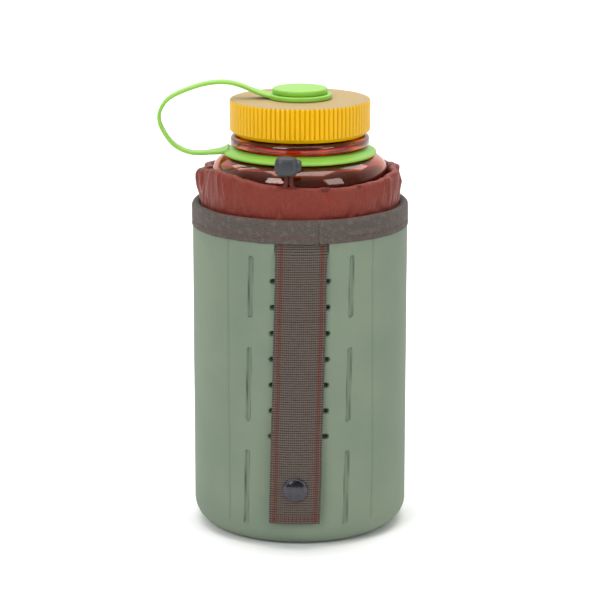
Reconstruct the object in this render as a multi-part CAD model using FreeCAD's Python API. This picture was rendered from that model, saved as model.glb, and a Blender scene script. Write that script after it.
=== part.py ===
import FreeCAD, Part

import math
import os

from FreeCAD import Placement, Rotation, Vector

# A wide-mouth bottle with a tethered screw cap, carried in an insulated sleeve with a drawcord collar.
# Millimetres, +Z up. The origin is the centre of the sleeve's underside, and the strap faces -Y.
# "Front angle" means degrees round the Z axis from -Y, positive towards +X.

# Bottle body
bottle_radius = 44.5
bottle_wall = 2.2
bottle_corner = 10.0
bottle_dish_radius = 31.0
bottle_dish_depth = 2.5
body_height = 172.25
shoulder_radius = 9.0
shoulder_slope = 28.0

# Bottle neck, its bead and its thread
neck_radius = 29.9
neck_wall = 3.2
neck_root_radius = 31.4
neck_root_height = 2.1
bead_radius = 35.1
bead_height = 4.8
bead_round = 2.1
bead_edge = 0.9
finish_height = 15.5
thread_lead = 25.4 / 6
thread_turns = 1.3
thread_depth = 1.2
thread_width = 1.9
thread_tip_width = 0.9
thread_top_gap = 2.5
thread_clearance = 0.5
thread_embed = 0.3

# Screw cap
cap_wall = 3.3
cap_rib_height = 0.6
cap_rib_count = 90
cap_top_wall = 2.6
cap_skirt_gap = 0.8
cap_bevel = 2.1
cap_edge_round = 1.2
cap_seat_gap = 0.1
cap_post_radius = 7.0
cap_post_groove = 0.8
cap_post_lip = 0.8

# Tether: ring on the neck, strap, eye on the cap, and the button that holds the eye
tether_thickness = 2.3
tether_width = 6.6
tether_clearance = 0.3
tether_reach = 71.0
tether_sag = 0.55
ring_inner_radius = 32.2
ring_band_width = 6.2
ring_lug_width = 17.0
ring_lug_length = 9.0
eye_lug_length = 13.0
eye_root_depth = 4.0
eye_radius = 16.1
eye_thickness = 2.4
button_radius = 13.9
button_edge_round = 1.0
button_roof = 1.3
turning_gap = 0.15
running_clearance = 0.1
lug_swell = 1.6
lug_lean = 0.3
eye_edge_round = 0.5
strap_root_lap = 1.0
strap_ring_rise = 0.6

# Sleeve: moulded foam shell, base pad and lining
pocket_gap = 0.9
lining_thickness = 0.6
layer_gap = 0.1
foam_thickness = 8.4
foam_base = 5.0
base_pad_thickness = 4.2
shell_corner = 12.0
rim_below_shoulder = 15.1
rim_thickness = 2.8
rim_height = 11.0
mouth_flare_height = 10.0

# Binding tape folded over the rim, and its row of stitches
binding_thickness = 0.7
binding_recess = 0.4
binding_inner_rise = 1.0
binding_stitch_height = 2.8
binding_stitch_pitch = 3.2
binding_stitch_length = 2.3
binding_stitch_width = 0.5
thread_thickness = 0.3

# Collar with a hem that carries the drawcord
collar_thickness = 0.7
collar_bend_height = 2.6
hem_above_shoulder = 1.25
hem_wall = 0.6
hem_inner_gap = 1.7
cord_diameter = 2.2
cord_channel_gap = 0.25
buttonhole_slack = 0.4
cord_bend_radius = 4.6
cord_end_drop = 0.8

# Cord lock: barrel, plunger and spring
lock_length = 13.1
lock_height = 10.1
lock_depth = 8.8
lock_front_offset = -5.8
lock_stand_off = 0.4
lock_centre_rise = 10.5
lock_end_wall = 0.9
lock_mouth_length = 1.6
lock_bulge = 0.9
lock_edge_round = 1.9
plunger_radius = 3.3
plunger_edge_round = 1.5
plunger_travel = 1.3
plunger_tip = 0.7
cord_spacing = 2.4
cord_hole_gap = 0.3
cord_bore_shift = 0.3
spring_wire = 0.3
spring_turns = 3.5
spring_radius = 2.0

# Pressed grooves in the shell: two columns beside the strap
groove_width = 2.9
groove_depth = 1.2
groove_front_angles = (-28.0, 26.6)
groove_spans = ((10.5, 39.4), (64.5, 38.6), (117.9, 31.6))

# Pressed ladder of slots behind the strap
slot_count = 7
slot_pitch = 13.2
slot_lowest = 58.2
slot_height = 2.6
slot_depth = 2.4
slot_overhang = 3.8

# Webbing strap, wound slightly off the vertical
strap_width = 25.4
webbing_thickness = 1.6
strap_bottom = 14.0
strap_fold_height = 85.0
strap_lift_off_height = 48.0
strap_clearance = 0.15
strap_stand_off = 2.6
strap_piece_gap = 0.2
strap_hinge_drop = 6.2
strap_root_drop = 0.3
strap_tab_length = 6.6
strap_mid_angle = -1.0
lean_per_mm = 0.0255

# Four-piece press snap
snap_height = 32.0
snap_cap_radius = 6.25
snap_cap_dome = 1.4
snap_cap_round = 1.0
snap_rivet_radius = 1.8
snap_rivet_gap = 0.2
snap_socket_radius = 5.2
snap_socket_floor = 0.6
snap_socket_roof = 2.0
snap_nub_radius = 2.9
snap_nub_height = 1.7
snap_nub_gap = 0.3
snap_flange_radius = 4.6
snap_flange_thickness = 0.5
snap_back_radius = 5.0
snap_back_thickness = 0.6
snap_bedding = 0.5
snap_bite = 0.2
snap_edge = 0.3
snap_socket_edge = 0.6
snap_crown = 0.2
snap_rivet_drop = 0.2

# Cutting tools run past what they cut, and edges are picked by position within a tolerance
cutter_margin = 1.0
pocket_depth = 3.0
pocket_side_gap = 0.2
pick_tolerance = 0.01

# Heights and radii that follow from the sizes above
slope = math.radians(shoulder_slope)
bottle_foot = foam_base + base_pad_thickness + lining_thickness + 2 * layer_gap
body_top = bottle_foot + body_height
shoulder_centre = bottle_radius - shoulder_radius
shoulder_end_radius = shoulder_centre + shoulder_radius * math.sin(slope)
shoulder_end_height = body_top + shoulder_radius * math.cos(slope)
neck_foot = shoulder_end_height + (shoulder_end_radius - neck_root_radius) * math.tan(slope)
bead_foot = neck_foot + neck_root_height
bead_top = bead_foot + bead_height
mouth_height = bead_top + finish_height
bore_radius = neck_radius - neck_wall

male_crest = neck_radius + thread_depth
cap_bore = male_crest + thread_clearance
cap_foot = bead_top + cap_skirt_gap
cap_ceiling = mouth_height + cap_seat_gap
cap_top = cap_ceiling + cap_top_wall
cap_root_radius = cap_bore + cap_wall
cap_radius = cap_root_radius + cap_rib_height

eye_foot = cap_top + turning_gap
eye_top = eye_foot + eye_thickness
button_foot = eye_top + turning_gap
post_neck_top = button_foot + cap_post_lip
post_top = post_neck_top + cap_post_lip
button_top = post_top + running_clearance + button_roof
loop_split = (neck_foot + eye_foot) / 2

lining_inner = bottle_radius + pocket_gap
lining_outer = lining_inner + lining_thickness
foam_inner = lining_outer + layer_gap
shell_radius = foam_inner + foam_thickness
rim_top = body_top - rim_below_shoulder
rim_foot = rim_top - rim_height
rim_outer = shell_radius - binding_recess
rim_inner = rim_outer - rim_thickness
binding_outer = rim_outer + layer_gap + binding_thickness
binding_inner = rim_inner - layer_gap - binding_thickness
collar_outer = binding_inner - layer_gap

cord_channel = cord_diameter + 2 * cord_channel_gap
hem_inner = bottle_radius + hem_inner_gap
hem_outer = hem_inner + cord_channel + 2 * hem_wall
hem_top = body_top + hem_above_shoulder
hem_foot = hem_top - cord_channel - 2 * hem_wall
channel_radius = (hem_inner + hem_outer) / 2
channel_height = (hem_top + hem_foot) / 2

lock_x = lock_front_offset
lock_y = -(bottle_radius + lock_stand_off + lock_depth / 2)
lock_z = hem_top + lock_centre_rise
plunger_bore = plunger_radius + running_clearance
cord_span = cord_spacing + cord_diameter + 2 * cord_hole_gap
cord_centre_x = lock_x + cord_bore_shift
cord_rise_radius = math.hypot(channel_radius, cord_bend_radius)
cord_y = -math.sqrt(cord_rise_radius ** 2 - cord_centre_x ** 2)

strap_inner = shell_radius + strap_clearance
strap_hinge_height = rim_foot - strap_hinge_drop
strap_tab_top = rim_foot + strap_tab_length
strap_tab_inner = rim_outer - strap_root_drop + layer_gap - webbing_thickness
strap_lifted_inner = shell_radius + strap_stand_off


def turned(outline):
    """Solid of revolution about Z from a closed list of edges in the XZ plane."""
    face = Part.Face(Part.Wire(Part.__sortEdges__(outline)))
    return face.revolve(Vector(0, 0, 0), Vector(0, 0, 1), 360)


def line(start, end):
    """Straight edge between two (radius, height) points."""
    return Part.LineSegment(Vector(start[0], 0, start[1]), Vector(end[0], 0, end[1])).toShape()


def arc(centre, radius, from_degrees, to_degrees):
    """Circular edge in the XZ plane about a (radius, height) centre."""
    points = []
    for share in (0.0, 0.5, 1.0):
        angle = math.radians(from_degrees + share * (to_degrees - from_degrees))
        points.append(Vector(centre[0] + radius * math.cos(angle), 0, centre[1] + radius * math.sin(angle)))
    return Part.Arc(*points).toShape()


def polyline(points):
    """Straight edges through a list of (radius, height) points."""
    return [line(a, b) for a, b in zip(points, points[1:])]


def tube(inner, outer, foot, top):
    """Plain ring between two radii and two heights."""
    corners = [(inner, foot), (outer, foot), (outer, top), (inner, top), (inner, foot)]
    return turned(polyline(corners))


def tube_sector(inner, outer, foot, top, front_angle, sweep):
    """Piece of a ring that spans an angle, centred on a front angle."""
    corner = Vector(inner, 0, foot)
    section = Part.makePlane(outer - inner, top - foot, corner, Vector(0, -1, 0), Vector(1, 0, 0))
    piece = section.revolve(Vector(0, 0, 0), Vector(0, 0, 1), sweep)
    piece.rotate(Vector(0, 0, 0), Vector(0, 0, 1), front_angle - 90 - sweep / 2)
    return piece


def disc(radius, foot, top):
    """Plain cylinder about Z."""
    return Part.makeCylinder(radius, top - foot, Vector(0, 0, foot))


def facing(shape, front_angle, height):
    """Place a shape built about the -Y axis at a front angle and a height."""
    placed = shape.copy()
    placed.Placement = Placement(Vector(0, 0, height), Rotation(Vector(0, 0, 1), front_angle))
    return placed


def radial_cylinder(radius, near, far):
    """Cylinder along -Y between two distances from the Z axis."""
    return Part.makeCylinder(radius, far - near, Vector(0, -near, 0), Vector(0, -1, 0))


def leaning_angle(height):
    """Front angle of the strap's middle at a height."""
    return strap_mid_angle + lean_per_mm * (height - strap_fold_height)


def plate_section(height, inner, thickness, width):
    """Curved section of the strap at a height, on the leaning line."""
    wires = []
    middle = leaning_angle(height) - 90
    half = math.degrees(width / 2 / inner)
    corners = []
    for radius in (inner, inner + thickness):
        ends = []
        for share in (-1, 0, 1):
            angle = math.radians(middle + share * half)
            ends.append(Vector(radius * math.cos(angle), radius * math.sin(angle), height))
        corners.append(ends)
        wires.append(Part.Arc(*ends).toShape())
    wires.append(Part.LineSegment(corners[0][0], corners[1][0]).toShape())
    wires.append(Part.LineSegment(corners[0][2], corners[1][2]).toShape())
    return Part.Wire(Part.__sortEdges__(wires))


def strap_plate(stations, thickness, width):
    """Curved plate through (height, inner radius) stations, listed from the top down."""
    sections = [plate_section(height, inner, thickness, width) for height, inner in stations]
    pieces = [Part.makeLoft([a, b], True, True) for a, b in zip(sections, sections[1:])]
    plate = pieces[0]
    for piece in pieces[1:]:
        plate = plate.fuse(piece)
    return plate


def helical_ridge(base_radius, crest_radius, foot):
    """Thread ridge that climbs from a height, with its tip on the crest radius."""
    helix = Part.makeHelix(thread_lead, thread_lead * thread_turns, base_radius)
    corners = [
        Vector(base_radius, 0, -thread_width / 2),
        Vector(crest_radius, 0, -thread_tip_width / 2),
        Vector(crest_radius, 0, thread_tip_width / 2),
        Vector(base_radius, 0, thread_width / 2),
    ]
    profile = Part.makePolygon(corners + corners[:1])
    ridge = Part.Wire(helix.Edges).makePipeShell([profile], True, True)
    ridge.translate(Vector(0, 0, foot))
    return ridge


# ---------------------------------------------------------------- bottle and cap


def bottle_skin(inset):
    """Edges of the bottle's body surface, inset from the outside, from the base to the neck's foot."""
    side = bottle_radius - inset
    foot = bottle_foot + inset
    corner = bottle_corner - inset
    turn = shoulder_radius - inset
    shoulder = (shoulder_centre + turn * math.sin(slope), body_top + turn * math.cos(slope))
    neck = neck_root_radius if inset == 0 else bore_radius
    neck_point = (neck, shoulder[1] + (shoulder[0] - neck) * math.tan(slope))
    edges = polyline([
        (0, foot + bottle_dish_depth),
        (bottle_dish_radius - bottle_dish_depth, foot + bottle_dish_depth),
        (bottle_dish_radius, foot),
        (bottle_radius - bottle_corner, foot),
    ])
    edges.append(arc((bottle_radius - bottle_corner, foot + corner), corner, -90, 0))
    edges.append(line((side, foot + corner), (side, body_top)))
    edges.append(arc((shoulder_centre, body_top), turn, 0, 90 - shoulder_slope))
    edges.append(line(shoulder, neck_point))
    return edges, neck_point


def make_bottle():
    """Blow-moulded bottle with its bead, neck finish and helical thread."""
    outside, neck_point = bottle_skin(0)
    inside, bore_point = bottle_skin(bottle_wall)
    bead_side_top = bead_top - bead_round
    neck = polyline([
        neck_point,
        (neck_root_radius, bead_foot),
        (bead_radius - bead_edge, bead_foot),
        (bead_radius, bead_foot + bead_edge),
        (bead_radius, bead_side_top),
    ])
    neck.append(arc((bead_radius - bead_round, bead_side_top), bead_round, 0, 90))
    neck += polyline([
        (bead_radius - bead_round, bead_top),
        (neck_radius, bead_top),
        (neck_radius, mouth_height),
        (bore_radius, mouth_height),
        bore_point,
    ])
    foot = bottle_foot + bottle_dish_depth
    axis = [line((0, foot), (0, foot + bottle_wall))]
    ridge_foot = mouth_height - thread_top_gap - thread_lead * thread_turns
    ridge = helical_ridge(neck_radius - thread_embed, male_crest, ridge_foot)
    return turned(outside + neck + inside + axis).fuse(ridge).removeSplitter()


def ribbed_prism(foot, top):
    """Prism whose outline is a ring of rounded ribs."""
    step = 2 * math.pi / cap_rib_count
    edges = []
    for index in range(cap_rib_count):
        points = []
        for share, radius in ((0, cap_root_radius), (0.5, cap_radius), (1, cap_root_radius)):
            angle = (index + share) * step
            points.append(Vector(radius * math.cos(angle), radius * math.sin(angle), foot))
        edges.append(Part.Arc(*points).toShape())
    return Part.Face(Part.Wire(edges)).extrude(Vector(0, 0, top - foot))


def cap_envelope():
    """Outside of the cap without ribs: bevelled foot, straight side, rounded top edge."""
    side_top = cap_top - cap_edge_round
    flat = cap_radius - cap_edge_round
    edges = polyline([
        (0, cap_top),
        (0, cap_foot),
        (cap_radius - cap_bevel, cap_foot),
        (cap_radius, cap_foot + cap_bevel),
        (cap_radius, side_top),
    ])
    edges.append(arc((flat, side_top), cap_edge_round, 0, 90))
    edges.append(line((flat, cap_top), (0, cap_top)))
    return turned(edges)


def make_cap():
    """Ribbed screw cap with a grooved post on top for the tether's eye."""
    body = ribbed_prism(cap_foot, cap_top).common(cap_envelope())
    body = body.cut(disc(cap_bore, cap_foot - cutter_margin, cap_ceiling))
    ridge_foot = mouth_height - thread_top_gap - thread_lead * (thread_turns + 0.5)
    crest = neck_radius + thread_clearance
    body = body.fuse(helical_ridge(cap_bore + thread_embed, crest, ridge_foot))
    neck = disc(cap_post_radius - cap_post_groove, cap_top - cap_post_lip, post_top)
    head = disc(cap_post_radius, post_neck_top, post_top)
    foot = disc(cap_post_radius, cap_top - cap_post_lip, eye_top)
    return body.fuse([neck, head, foot]).removeSplitter()


# ---------------------------------------------------------------- tether


def make_tether_ring():
    """Conical band lying on the shoulder, under the bead."""
    along = Vector(math.cos(slope), 0, -math.sin(slope))
    across = Vector(math.sin(slope), 0, math.cos(slope))
    on_shoulder = Vector(neck_root_radius, 0, neck_foot)
    reach = (ring_inner_radius - neck_root_radius) / math.cos(slope)
    inner = on_shoulder + along * reach + across * tether_clearance
    outer = inner + along * ring_band_width
    lift = across * (tether_thickness - tether_clearance / 2)
    corners = [inner, outer, outer + lift, inner + lift, inner]
    return turned(polyline([(point.x, point.z) for point in corners]))


def tether_route():
    """Middle line of the strap from the eye round to the ring, as (x, z) points."""
    eye_height = (eye_foot + eye_top) / 2
    ring_height = neck_foot - tether_sag - (ring_inner_radius - neck_root_radius)
    ring_edge = ring_inner_radius + ring_band_width * math.cos(slope)
    gap = eye_height - ring_height
    shape = (
        (0.318, 1.08), (0.40, 1.17), (0.48, 1.235), (0.563, 1.25), (0.66, 1.225), (0.76, 1.155),
        (0.91, 1.0), (0.965, 0.86), (1.0, 0.69), (0.998, 0.50), (0.95, 0.27), (0.90, 0.115),
        (0.842, 0.025), (0.775, -0.035), (0.69, -0.04), (0.62, -0.02),
    )
    points = [(strap_root_lap - eye_radius, eye_height)]
    points += [(-u * tether_reach, ring_height + v * gap) for u, v in shape]
    points.append((strap_root_lap - ring_edge, ring_height + strap_ring_rise))
    return points


def spline_band(points, thickness):
    """Closed face of even thickness along a smooth line through (x, z) points."""
    curve = Part.BSplineCurve()
    curve.interpolate([Vector(x, 0, z) for x, z in points])
    first, last = curve.FirstParameter, curve.LastParameter
    count = 2 * len(points)
    sides = ([], [])
    for index in range(count + 1):
        at = first + (last - first) * index / count
        along = curve.tangent(at)[0]
        across = Vector(-along.z, 0, along.x) * (thickness / 2)
        sides[0].append(curve.value(at) + across)
        sides[1].append(curve.value(at) - across)
    edges = []
    for side in sides:
        edge = Part.BSplineCurve()
        edge.interpolate(side)
        edges.append(edge.toShape())
    edges.append(Part.LineSegment(sides[0][0], sides[1][0]).toShape())
    edges.append(Part.LineSegment(sides[0][-1], sides[1][-1]).toShape())
    return Part.Face(Part.Wire(Part.__sortEdges__(edges)))


def plan_outline(tip, root, foot, top):
    """Prism that narrows along X from a wide root to the strap's width with hollow flanks."""
    half, wide = tether_width / 2, ring_lug_width / 2
    middle = (tip + 2 * root) / 3
    far = tip - tether_reach
    edges = []
    for side in (-1, 1):
        flank = Part.BSplineCurve()
        flank.interpolate([Vector(tip, side * half, foot), Vector(middle, side * (half + lug_swell), foot),
                           Vector(root, side * wide, foot)],
                          InitialTangent=Vector(1, 0, 0), FinalTangent=Vector(lug_lean, side, 0))
        edges.append(flank.toShape())
        straight = Part.LineSegment(Vector(far, side * half, foot), Vector(tip, side * half, foot))
        edges.append(straight.toShape())
    edges.append(Part.LineSegment(Vector(far, -half, foot), Vector(far, half, foot)).toShape())
    edges.append(Part.LineSegment(Vector(root, -wide, foot), Vector(root, wide, foot)).toShape())
    return Part.Face(Part.Wire(Part.__sortEdges__(edges))).extrude(Vector(0, 0, top - foot))


def tether_band():
    """The whole moulded strap before it is trimmed, as an even band."""
    face = spline_band(tether_route(), tether_thickness)
    band = face.extrude(Vector(0, ring_lug_width, 0))
    band.translate(Vector(0, -ring_lug_width / 2, 0))
    return band


def make_tether_strap_lower(ring):
    """Outer half of the loop, from its outermost point round to the ring, where it widens."""
    ring_edge = ring_inner_radius + ring_band_width * math.cos(slope)
    top = loop_split - tether_clearance / 2
    plan = plan_outline(-ring_edge - ring_lug_length, -ring_inner_radius, 0, top)
    return tether_band().common(plan).cut(ring)


def make_tether_strap_upper():
    """Inner half of the loop, from the eye, where it widens, to its outermost point."""
    root = eye_root_depth - eye_radius
    foot = loop_split + tether_clearance / 2
    plan = plan_outline(root - eye_lug_length, root, foot, button_top + tether_reach)
    return tether_band().common(plan).cut(disc(eye_radius, cap_top, button_top))


def make_tether_eye():
    """Flat ring that turns on the cap's post."""
    body = tube(cap_post_radius + tether_clearance, eye_radius, eye_foot, eye_top)
    rims = [e for e in body.Edges if abs(e.BoundBox.XLength - 2 * eye_radius) < pick_tolerance]
    rims = [e for e in rims if e.BoundBox.ZLength < pick_tolerance]
    return body.makeFillet(eye_edge_round, rims)


def make_retainer_button():
    """Disc that snaps over the post's head and traps the eye."""
    side_top = button_top - button_edge_round
    flat = button_radius - button_edge_round
    head = cap_post_radius + running_clearance
    neck = cap_post_radius - cap_post_groove + running_clearance
    lip = post_neck_top - running_clearance
    edges = polyline([
        (0, button_top),
        (0, post_top + running_clearance),
        (head, post_top + running_clearance),
        (head, lip),
        (neck, lip),
        (neck, button_foot),
        (button_radius, button_foot),
        (button_radius, side_top),
    ])
    edges.append(arc((flat, side_top), button_edge_round, 0, 90))
    edges.append(line((flat, button_top), (0, button_top)))
    return turned(edges)


# ---------------------------------------------------------------- sleeve


def shell_body():
    """Foam shell before any groove: round-bottomed cup that thins to its bound rim."""
    rim_round = rim_thickness / 2
    edges = polyline([
        (0, foam_base),
        (0, 0),
        (shell_radius - shell_corner, 0),
    ])
    edges.append(arc((shell_radius - shell_corner, shell_corner), shell_corner, -90, 0))
    edges += polyline([
        (shell_radius, shell_corner),
        (shell_radius, rim_foot),
        (rim_outer, rim_foot),
        (rim_outer, rim_top - rim_round),
    ])
    edges.append(arc((rim_outer - rim_round, rim_top - rim_round), rim_round, 0, 180))
    edges += polyline([
        (rim_inner, rim_top - rim_round),
        (rim_inner, rim_foot),
        (foam_inner, rim_foot - mouth_flare_height),
        (foam_inner, foam_base),
        (0, foam_base),
    ])
    return turned(edges)


def capsule(width, length):
    """Round-ended bar standing along Z, cut through the shell's front."""
    straight = max(length - width, 0.1)
    corner = Vector(-width / 2, -2 * shell_radius, -straight / 2)
    bar = Part.makeBox(width, 2 * shell_radius, straight, corner)
    ends = []
    for height in (-straight / 2, straight / 2):
        end = radial_cylinder(width / 2, 0, 2 * shell_radius)
        end.translate(Vector(0, 0, height))
        ends.append(end)
    return bar.fuse(ends)


def groove_cutters():
    """The two columns of upright grooves, leaning with the strap."""
    skin = tube(shell_radius - groove_depth, shell_radius + cutter_margin, 0, rim_top)
    cutters = []
    for column_angle in groove_front_angles:
        for foot, length in groove_spans:
            middle = foot + length / 2
            angle = column_angle + lean_per_mm * (middle - strap_fold_height)
            cutters.append(facing(capsule(groove_width, length), angle, middle).common(skin))
    return cutters


def slot_cutters():
    """The ladder of level slots behind the strap."""
    skin = tube(shell_radius - slot_depth, shell_radius + cutter_margin, 0, rim_top)
    length = strap_width + 2 * slot_overhang
    level = capsule(slot_height, length)
    level.rotate(Vector(0, 0, 0), Vector(0, 1, 0), 90)
    cutters = []
    for index in range(slot_count):
        rung = level.copy()
        rung.translate(Vector(0, 0, slot_lowest + index * slot_pitch))
        cutters.append(rung.common(skin))
    return cutters


def strap_pocket():
    """Room in the shell for the strap's sewn root."""
    stations = tab_stations(-layer_gap)
    return strap_plate(stations, webbing_thickness + pocket_depth, strap_width + 2 * pocket_side_gap)


def make_foam_shell():
    """Moulded foam shell with grooves, slots, the strap's pocket and the snap's hole."""
    near = foam_inner - cutter_margin
    rivet = radial_cylinder(snap_rivet_radius + snap_rivet_gap, near, shell_radius + cutter_margin)
    seat_depth = foam_inner + snap_back_thickness + layer_gap
    seat = radial_cylinder(snap_back_radius + layer_gap, near, seat_depth)
    angle = leaning_angle(snap_height)
    holes = [facing(rivet, angle, snap_height), facing(seat, angle, snap_height)]
    return shell_body().cut(groove_cutters() + slot_cutters() + [strap_pocket()] + holes)


def make_base_pad():
    """Loose disc of closed-cell foam in the bottom of the shell."""
    return disc(foam_inner - layer_gap, foam_base, foam_base + base_pad_thickness)


def make_lining_base():
    """Round end panel of the lining, on the base pad."""
    foot = foam_base + base_pad_thickness + layer_gap
    return disc(lining_inner - layer_gap, foot, foot + lining_thickness)


def make_lining_tube():
    """Smooth lining of the pocket, which flares to meet the collar."""
    foot = foam_base + base_pad_thickness + layer_gap
    flare_foot = rim_foot - mouth_flare_height
    top_outer = rim_inner - layer_gap
    return turned(polyline([
        (lining_inner, foot),
        (lining_outer, foot),
        (lining_outer, flare_foot),
        (top_outer, rim_foot),
        (top_outer - lining_thickness, rim_foot),
        (lining_inner, flare_foot),
        (lining_inner, foot),
    ]))


def make_rim_binding():
    """Tape folded over the rim, with a round top."""
    middle = rim_outer - rim_thickness / 2
    bend_height = rim_top - rim_thickness / 2
    inside = rim_thickness / 2 + layer_gap
    outside = inside + binding_thickness
    foot = rim_foot + layer_gap
    inner_foot = foot + binding_inner_rise
    edges = [
        line((middle + inside, foot), (middle + outside, foot)),
        line((middle + outside, foot), (middle + outside, bend_height)),
        arc((middle, bend_height), outside, 0, 180),
        line((middle - outside, bend_height), (middle - outside, inner_foot)),
        line((middle - outside, inner_foot), (middle - inside, inner_foot)),
        line((middle - inside, inner_foot), (middle - inside, bend_height)),
        arc((middle, bend_height), inside, 0, 180),
        line((middle + inside, bend_height), (middle + inside, foot)),
    ]
    return turned(edges)


def make_binding_stitches():
    """Row of stitches round the outside of the binding."""
    count = round(2 * math.pi * binding_outer / binding_stitch_pitch)
    foot = rim_foot + binding_stitch_height - binding_stitch_width / 2
    sweep = math.degrees(binding_stitch_length / binding_outer)
    top = foot + binding_stitch_width
    stitch = tube_sector(binding_outer, binding_outer + thread_thickness, foot, top, 0, sweep)
    stitches = []
    for index in range(count):
        copy = stitch.copy()
        copy.rotate(Vector(0, 0, 0), Vector(0, 0, 1), index * 360 / count)
        stitches.append(copy)
    return Part.makeCompound(stitches)


def make_collar():
    """Nylon collar with a hollow hem, and a buttonhole where the cord comes out."""
    foot = rim_foot + binding_inner_rise + layer_gap
    bend = rim_top + collar_bend_height
    crown = hem_wall + cord_channel_gap
    edges = polyline([
        (collar_outer - collar_thickness, foot),
        (collar_outer, foot),
        (collar_outer, bend),
        (hem_outer, hem_foot),
        (hem_outer, hem_top - crown),
    ])
    edges.append(arc((hem_outer - crown, hem_top - crown), crown, 0, 90))
    edges.append(line((hem_outer - crown, hem_top), (hem_inner + crown, hem_top)))
    edges.append(arc((hem_inner + crown, hem_top - crown), crown, 90, 180))
    edges += polyline([
        (hem_inner, hem_top - crown),
        (hem_inner, hem_foot),
        (hem_outer - collar_thickness, hem_foot),
        (collar_outer - collar_thickness, bend),
        (collar_outer - collar_thickness, foot),
    ])
    channel = tube(hem_inner + hem_wall, hem_outer - hem_wall, hem_foot + hem_wall, hem_top - hem_wall)
    hole_foot = channel_height + cord_diameter / 4
    reach = (cord_channel + buttonhole_slack) / 2
    length = cord_spacing + 2 * cord_bend_radius + cord_channel
    buttonhole = tube_sector(
        channel_radius - reach, channel_radius + reach, hole_foot, hem_top + cutter_margin,
        math.degrees(math.asin(cord_centre_x / channel_radius)), math.degrees(length / channel_radius))
    return turned(edges).cut([channel, buttonhole])


def make_drawcord():
    """Cord that runs round the hem and rises through the cord lock."""
    end_height = lock_z + lock_height / 2 - cord_end_drop
    turn = math.atan2(cord_bend_radius, channel_radius)
    edges = []
    leaving = []
    for side in (-1, 1):
        x = cord_centre_x + side * cord_spacing / 2
        angle = math.asin(x / cord_rise_radius) + side * turn
        along = Vector(side * math.cos(angle), side * math.sin(angle), 0)
        foot = Vector(x, -math.sqrt(cord_rise_radius ** 2 - x ** 2), channel_height)
        bend = foot + Vector(0, 0, cord_bend_radius)
        start = foot + along * cord_bend_radius
        centre = bend + along * cord_bend_radius
        mid = centre - (along + Vector(0, 0, 1)) * (cord_bend_radius * math.sqrt(0.5))
        top = Vector(bend.x, bend.y, end_height)
        edges.append(Part.LineSegment(top, bend).toShape())
        edges.append(Part.Arc(bend, mid, start).toShape())
        leaving.append(start)
    back = Vector(0, channel_radius, channel_height)
    edges.append(Part.Arc(leaving[0], back, leaving[1]).toShape())
    route = Part.Wire(Part.__sortEdges__(edges))
    section = Part.Wire(Part.makeCircle(cord_diameter / 2, top, Vector(0, 0, 1)))
    cord = route.makePipeShell([section], True, False)
    expected = math.pi * cord_diameter ** 2 / 4 * route.Length
    print("drawcord volume over section times length:", round(cord.Volume / expected, 4))
    return cord


# ---------------------------------------------------------------- cord lock


def lock_barrel():
    """Bulged barrel along X, a little flatter from front to back than it is tall."""
    half, crown = lock_length / 2, lock_height / 2
    end = crown - lock_bulge
    edges = [
        Part.Arc(Vector(-half, 0, end), Vector(0, 0, crown), Vector(half, 0, end)).toShape(),
        line((half, end), (half, 0)),
        line((half, 0), (-half, 0)),
        line((-half, 0), (-half, end)),
    ]
    face = Part.Face(Part.Wire(Part.__sortEdges__(edges)))
    body = face.revolve(Vector(0, 0, 0), Vector(1, 0, 0), 360)
    rims = [e for e in body.Edges if e.BoundBox.XLength < pick_tolerance and e.BoundBox.ZLength > end]
    body = body.makeFillet(lock_edge_round, rims)
    flatten = FreeCAD.Matrix()
    flatten.scale(Vector(1, lock_depth / lock_height, 1))
    return body.transformGeometry(flatten)


def cord_slot(extra_length):
    """Upright slot for both cords, lengthened towards +X for a moving piece."""
    width = cord_diameter + 2 * cord_hole_gap
    corner = Vector(cord_bore_shift - cord_span / 2, cord_y - lock_y - width / 2, -lock_height)
    return Part.makeBox(cord_span + extra_length, width, 2 * lock_height, corner)


def along_x(radius, left, right):
    """Cylinder along X between two stations."""
    return Part.makeCylinder(radius, right - left, Vector(left, 0, 0), Vector(1, 0, 0))


def in_lock(shape):
    """Move a shape from the lock's own centre to its place."""
    shape.translate(Vector(lock_x, lock_y, lock_z))
    return shape


def make_lock_body():
    """Barrel with the plunger's bore and the slot for the cords."""
    half = lock_length / 2
    mouth = half - lock_mouth_length
    bore = along_x(plunger_bore, lock_end_wall - half, half + cutter_margin)
    tip = Part.makeBox(lock_length, 2 * lock_depth, 2 * lock_height, Vector(mouth, -lock_depth, -lock_height))
    return in_lock(lock_barrel().cut([tip, bore, cord_slot(0)]))


def plunger_left():
    """Inner end of the plunger at rest, in the lock's own frame."""
    return cord_bore_shift - cord_span / 2 - plunger_tip


def make_lock_plunger():
    """Push-button plunger with its own slot for the cords."""
    body = along_x(plunger_radius, plunger_left(), lock_length / 2)
    flat_rims = [e for e in body.Edges if e.BoundBox.XLength < pick_tolerance]
    rims = [e for e in flat_rims if e.BoundBox.XMin > lock_length / 2 - pick_tolerance]
    body = body.makeFillet(plunger_edge_round, rims)
    return in_lock(body.cut(cord_slot(plunger_travel)))


def make_lock_spring():
    """Coil spring between the barrel's end wall and the plunger."""
    left = lock_end_wall - lock_length / 2 + spring_wire
    length = plunger_left() - spring_wire - left
    helix = Part.makeHelix(length / spring_turns, length, spring_radius)
    section = Part.Wire(Part.makeCircle(spring_wire / 2, Vector(spring_radius, 0, 0), Vector(0, 1, 0)))
    spring = Part.Wire(helix.Edges).makePipeShell([section], True, True)
    spring.rotate(Vector(0, 0, 0), Vector(0, 1, 0), 90)
    spring.translate(Vector(left, 0, 0))
    return in_lock(spring)


# ---------------------------------------------------------------- strap and snap


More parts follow.
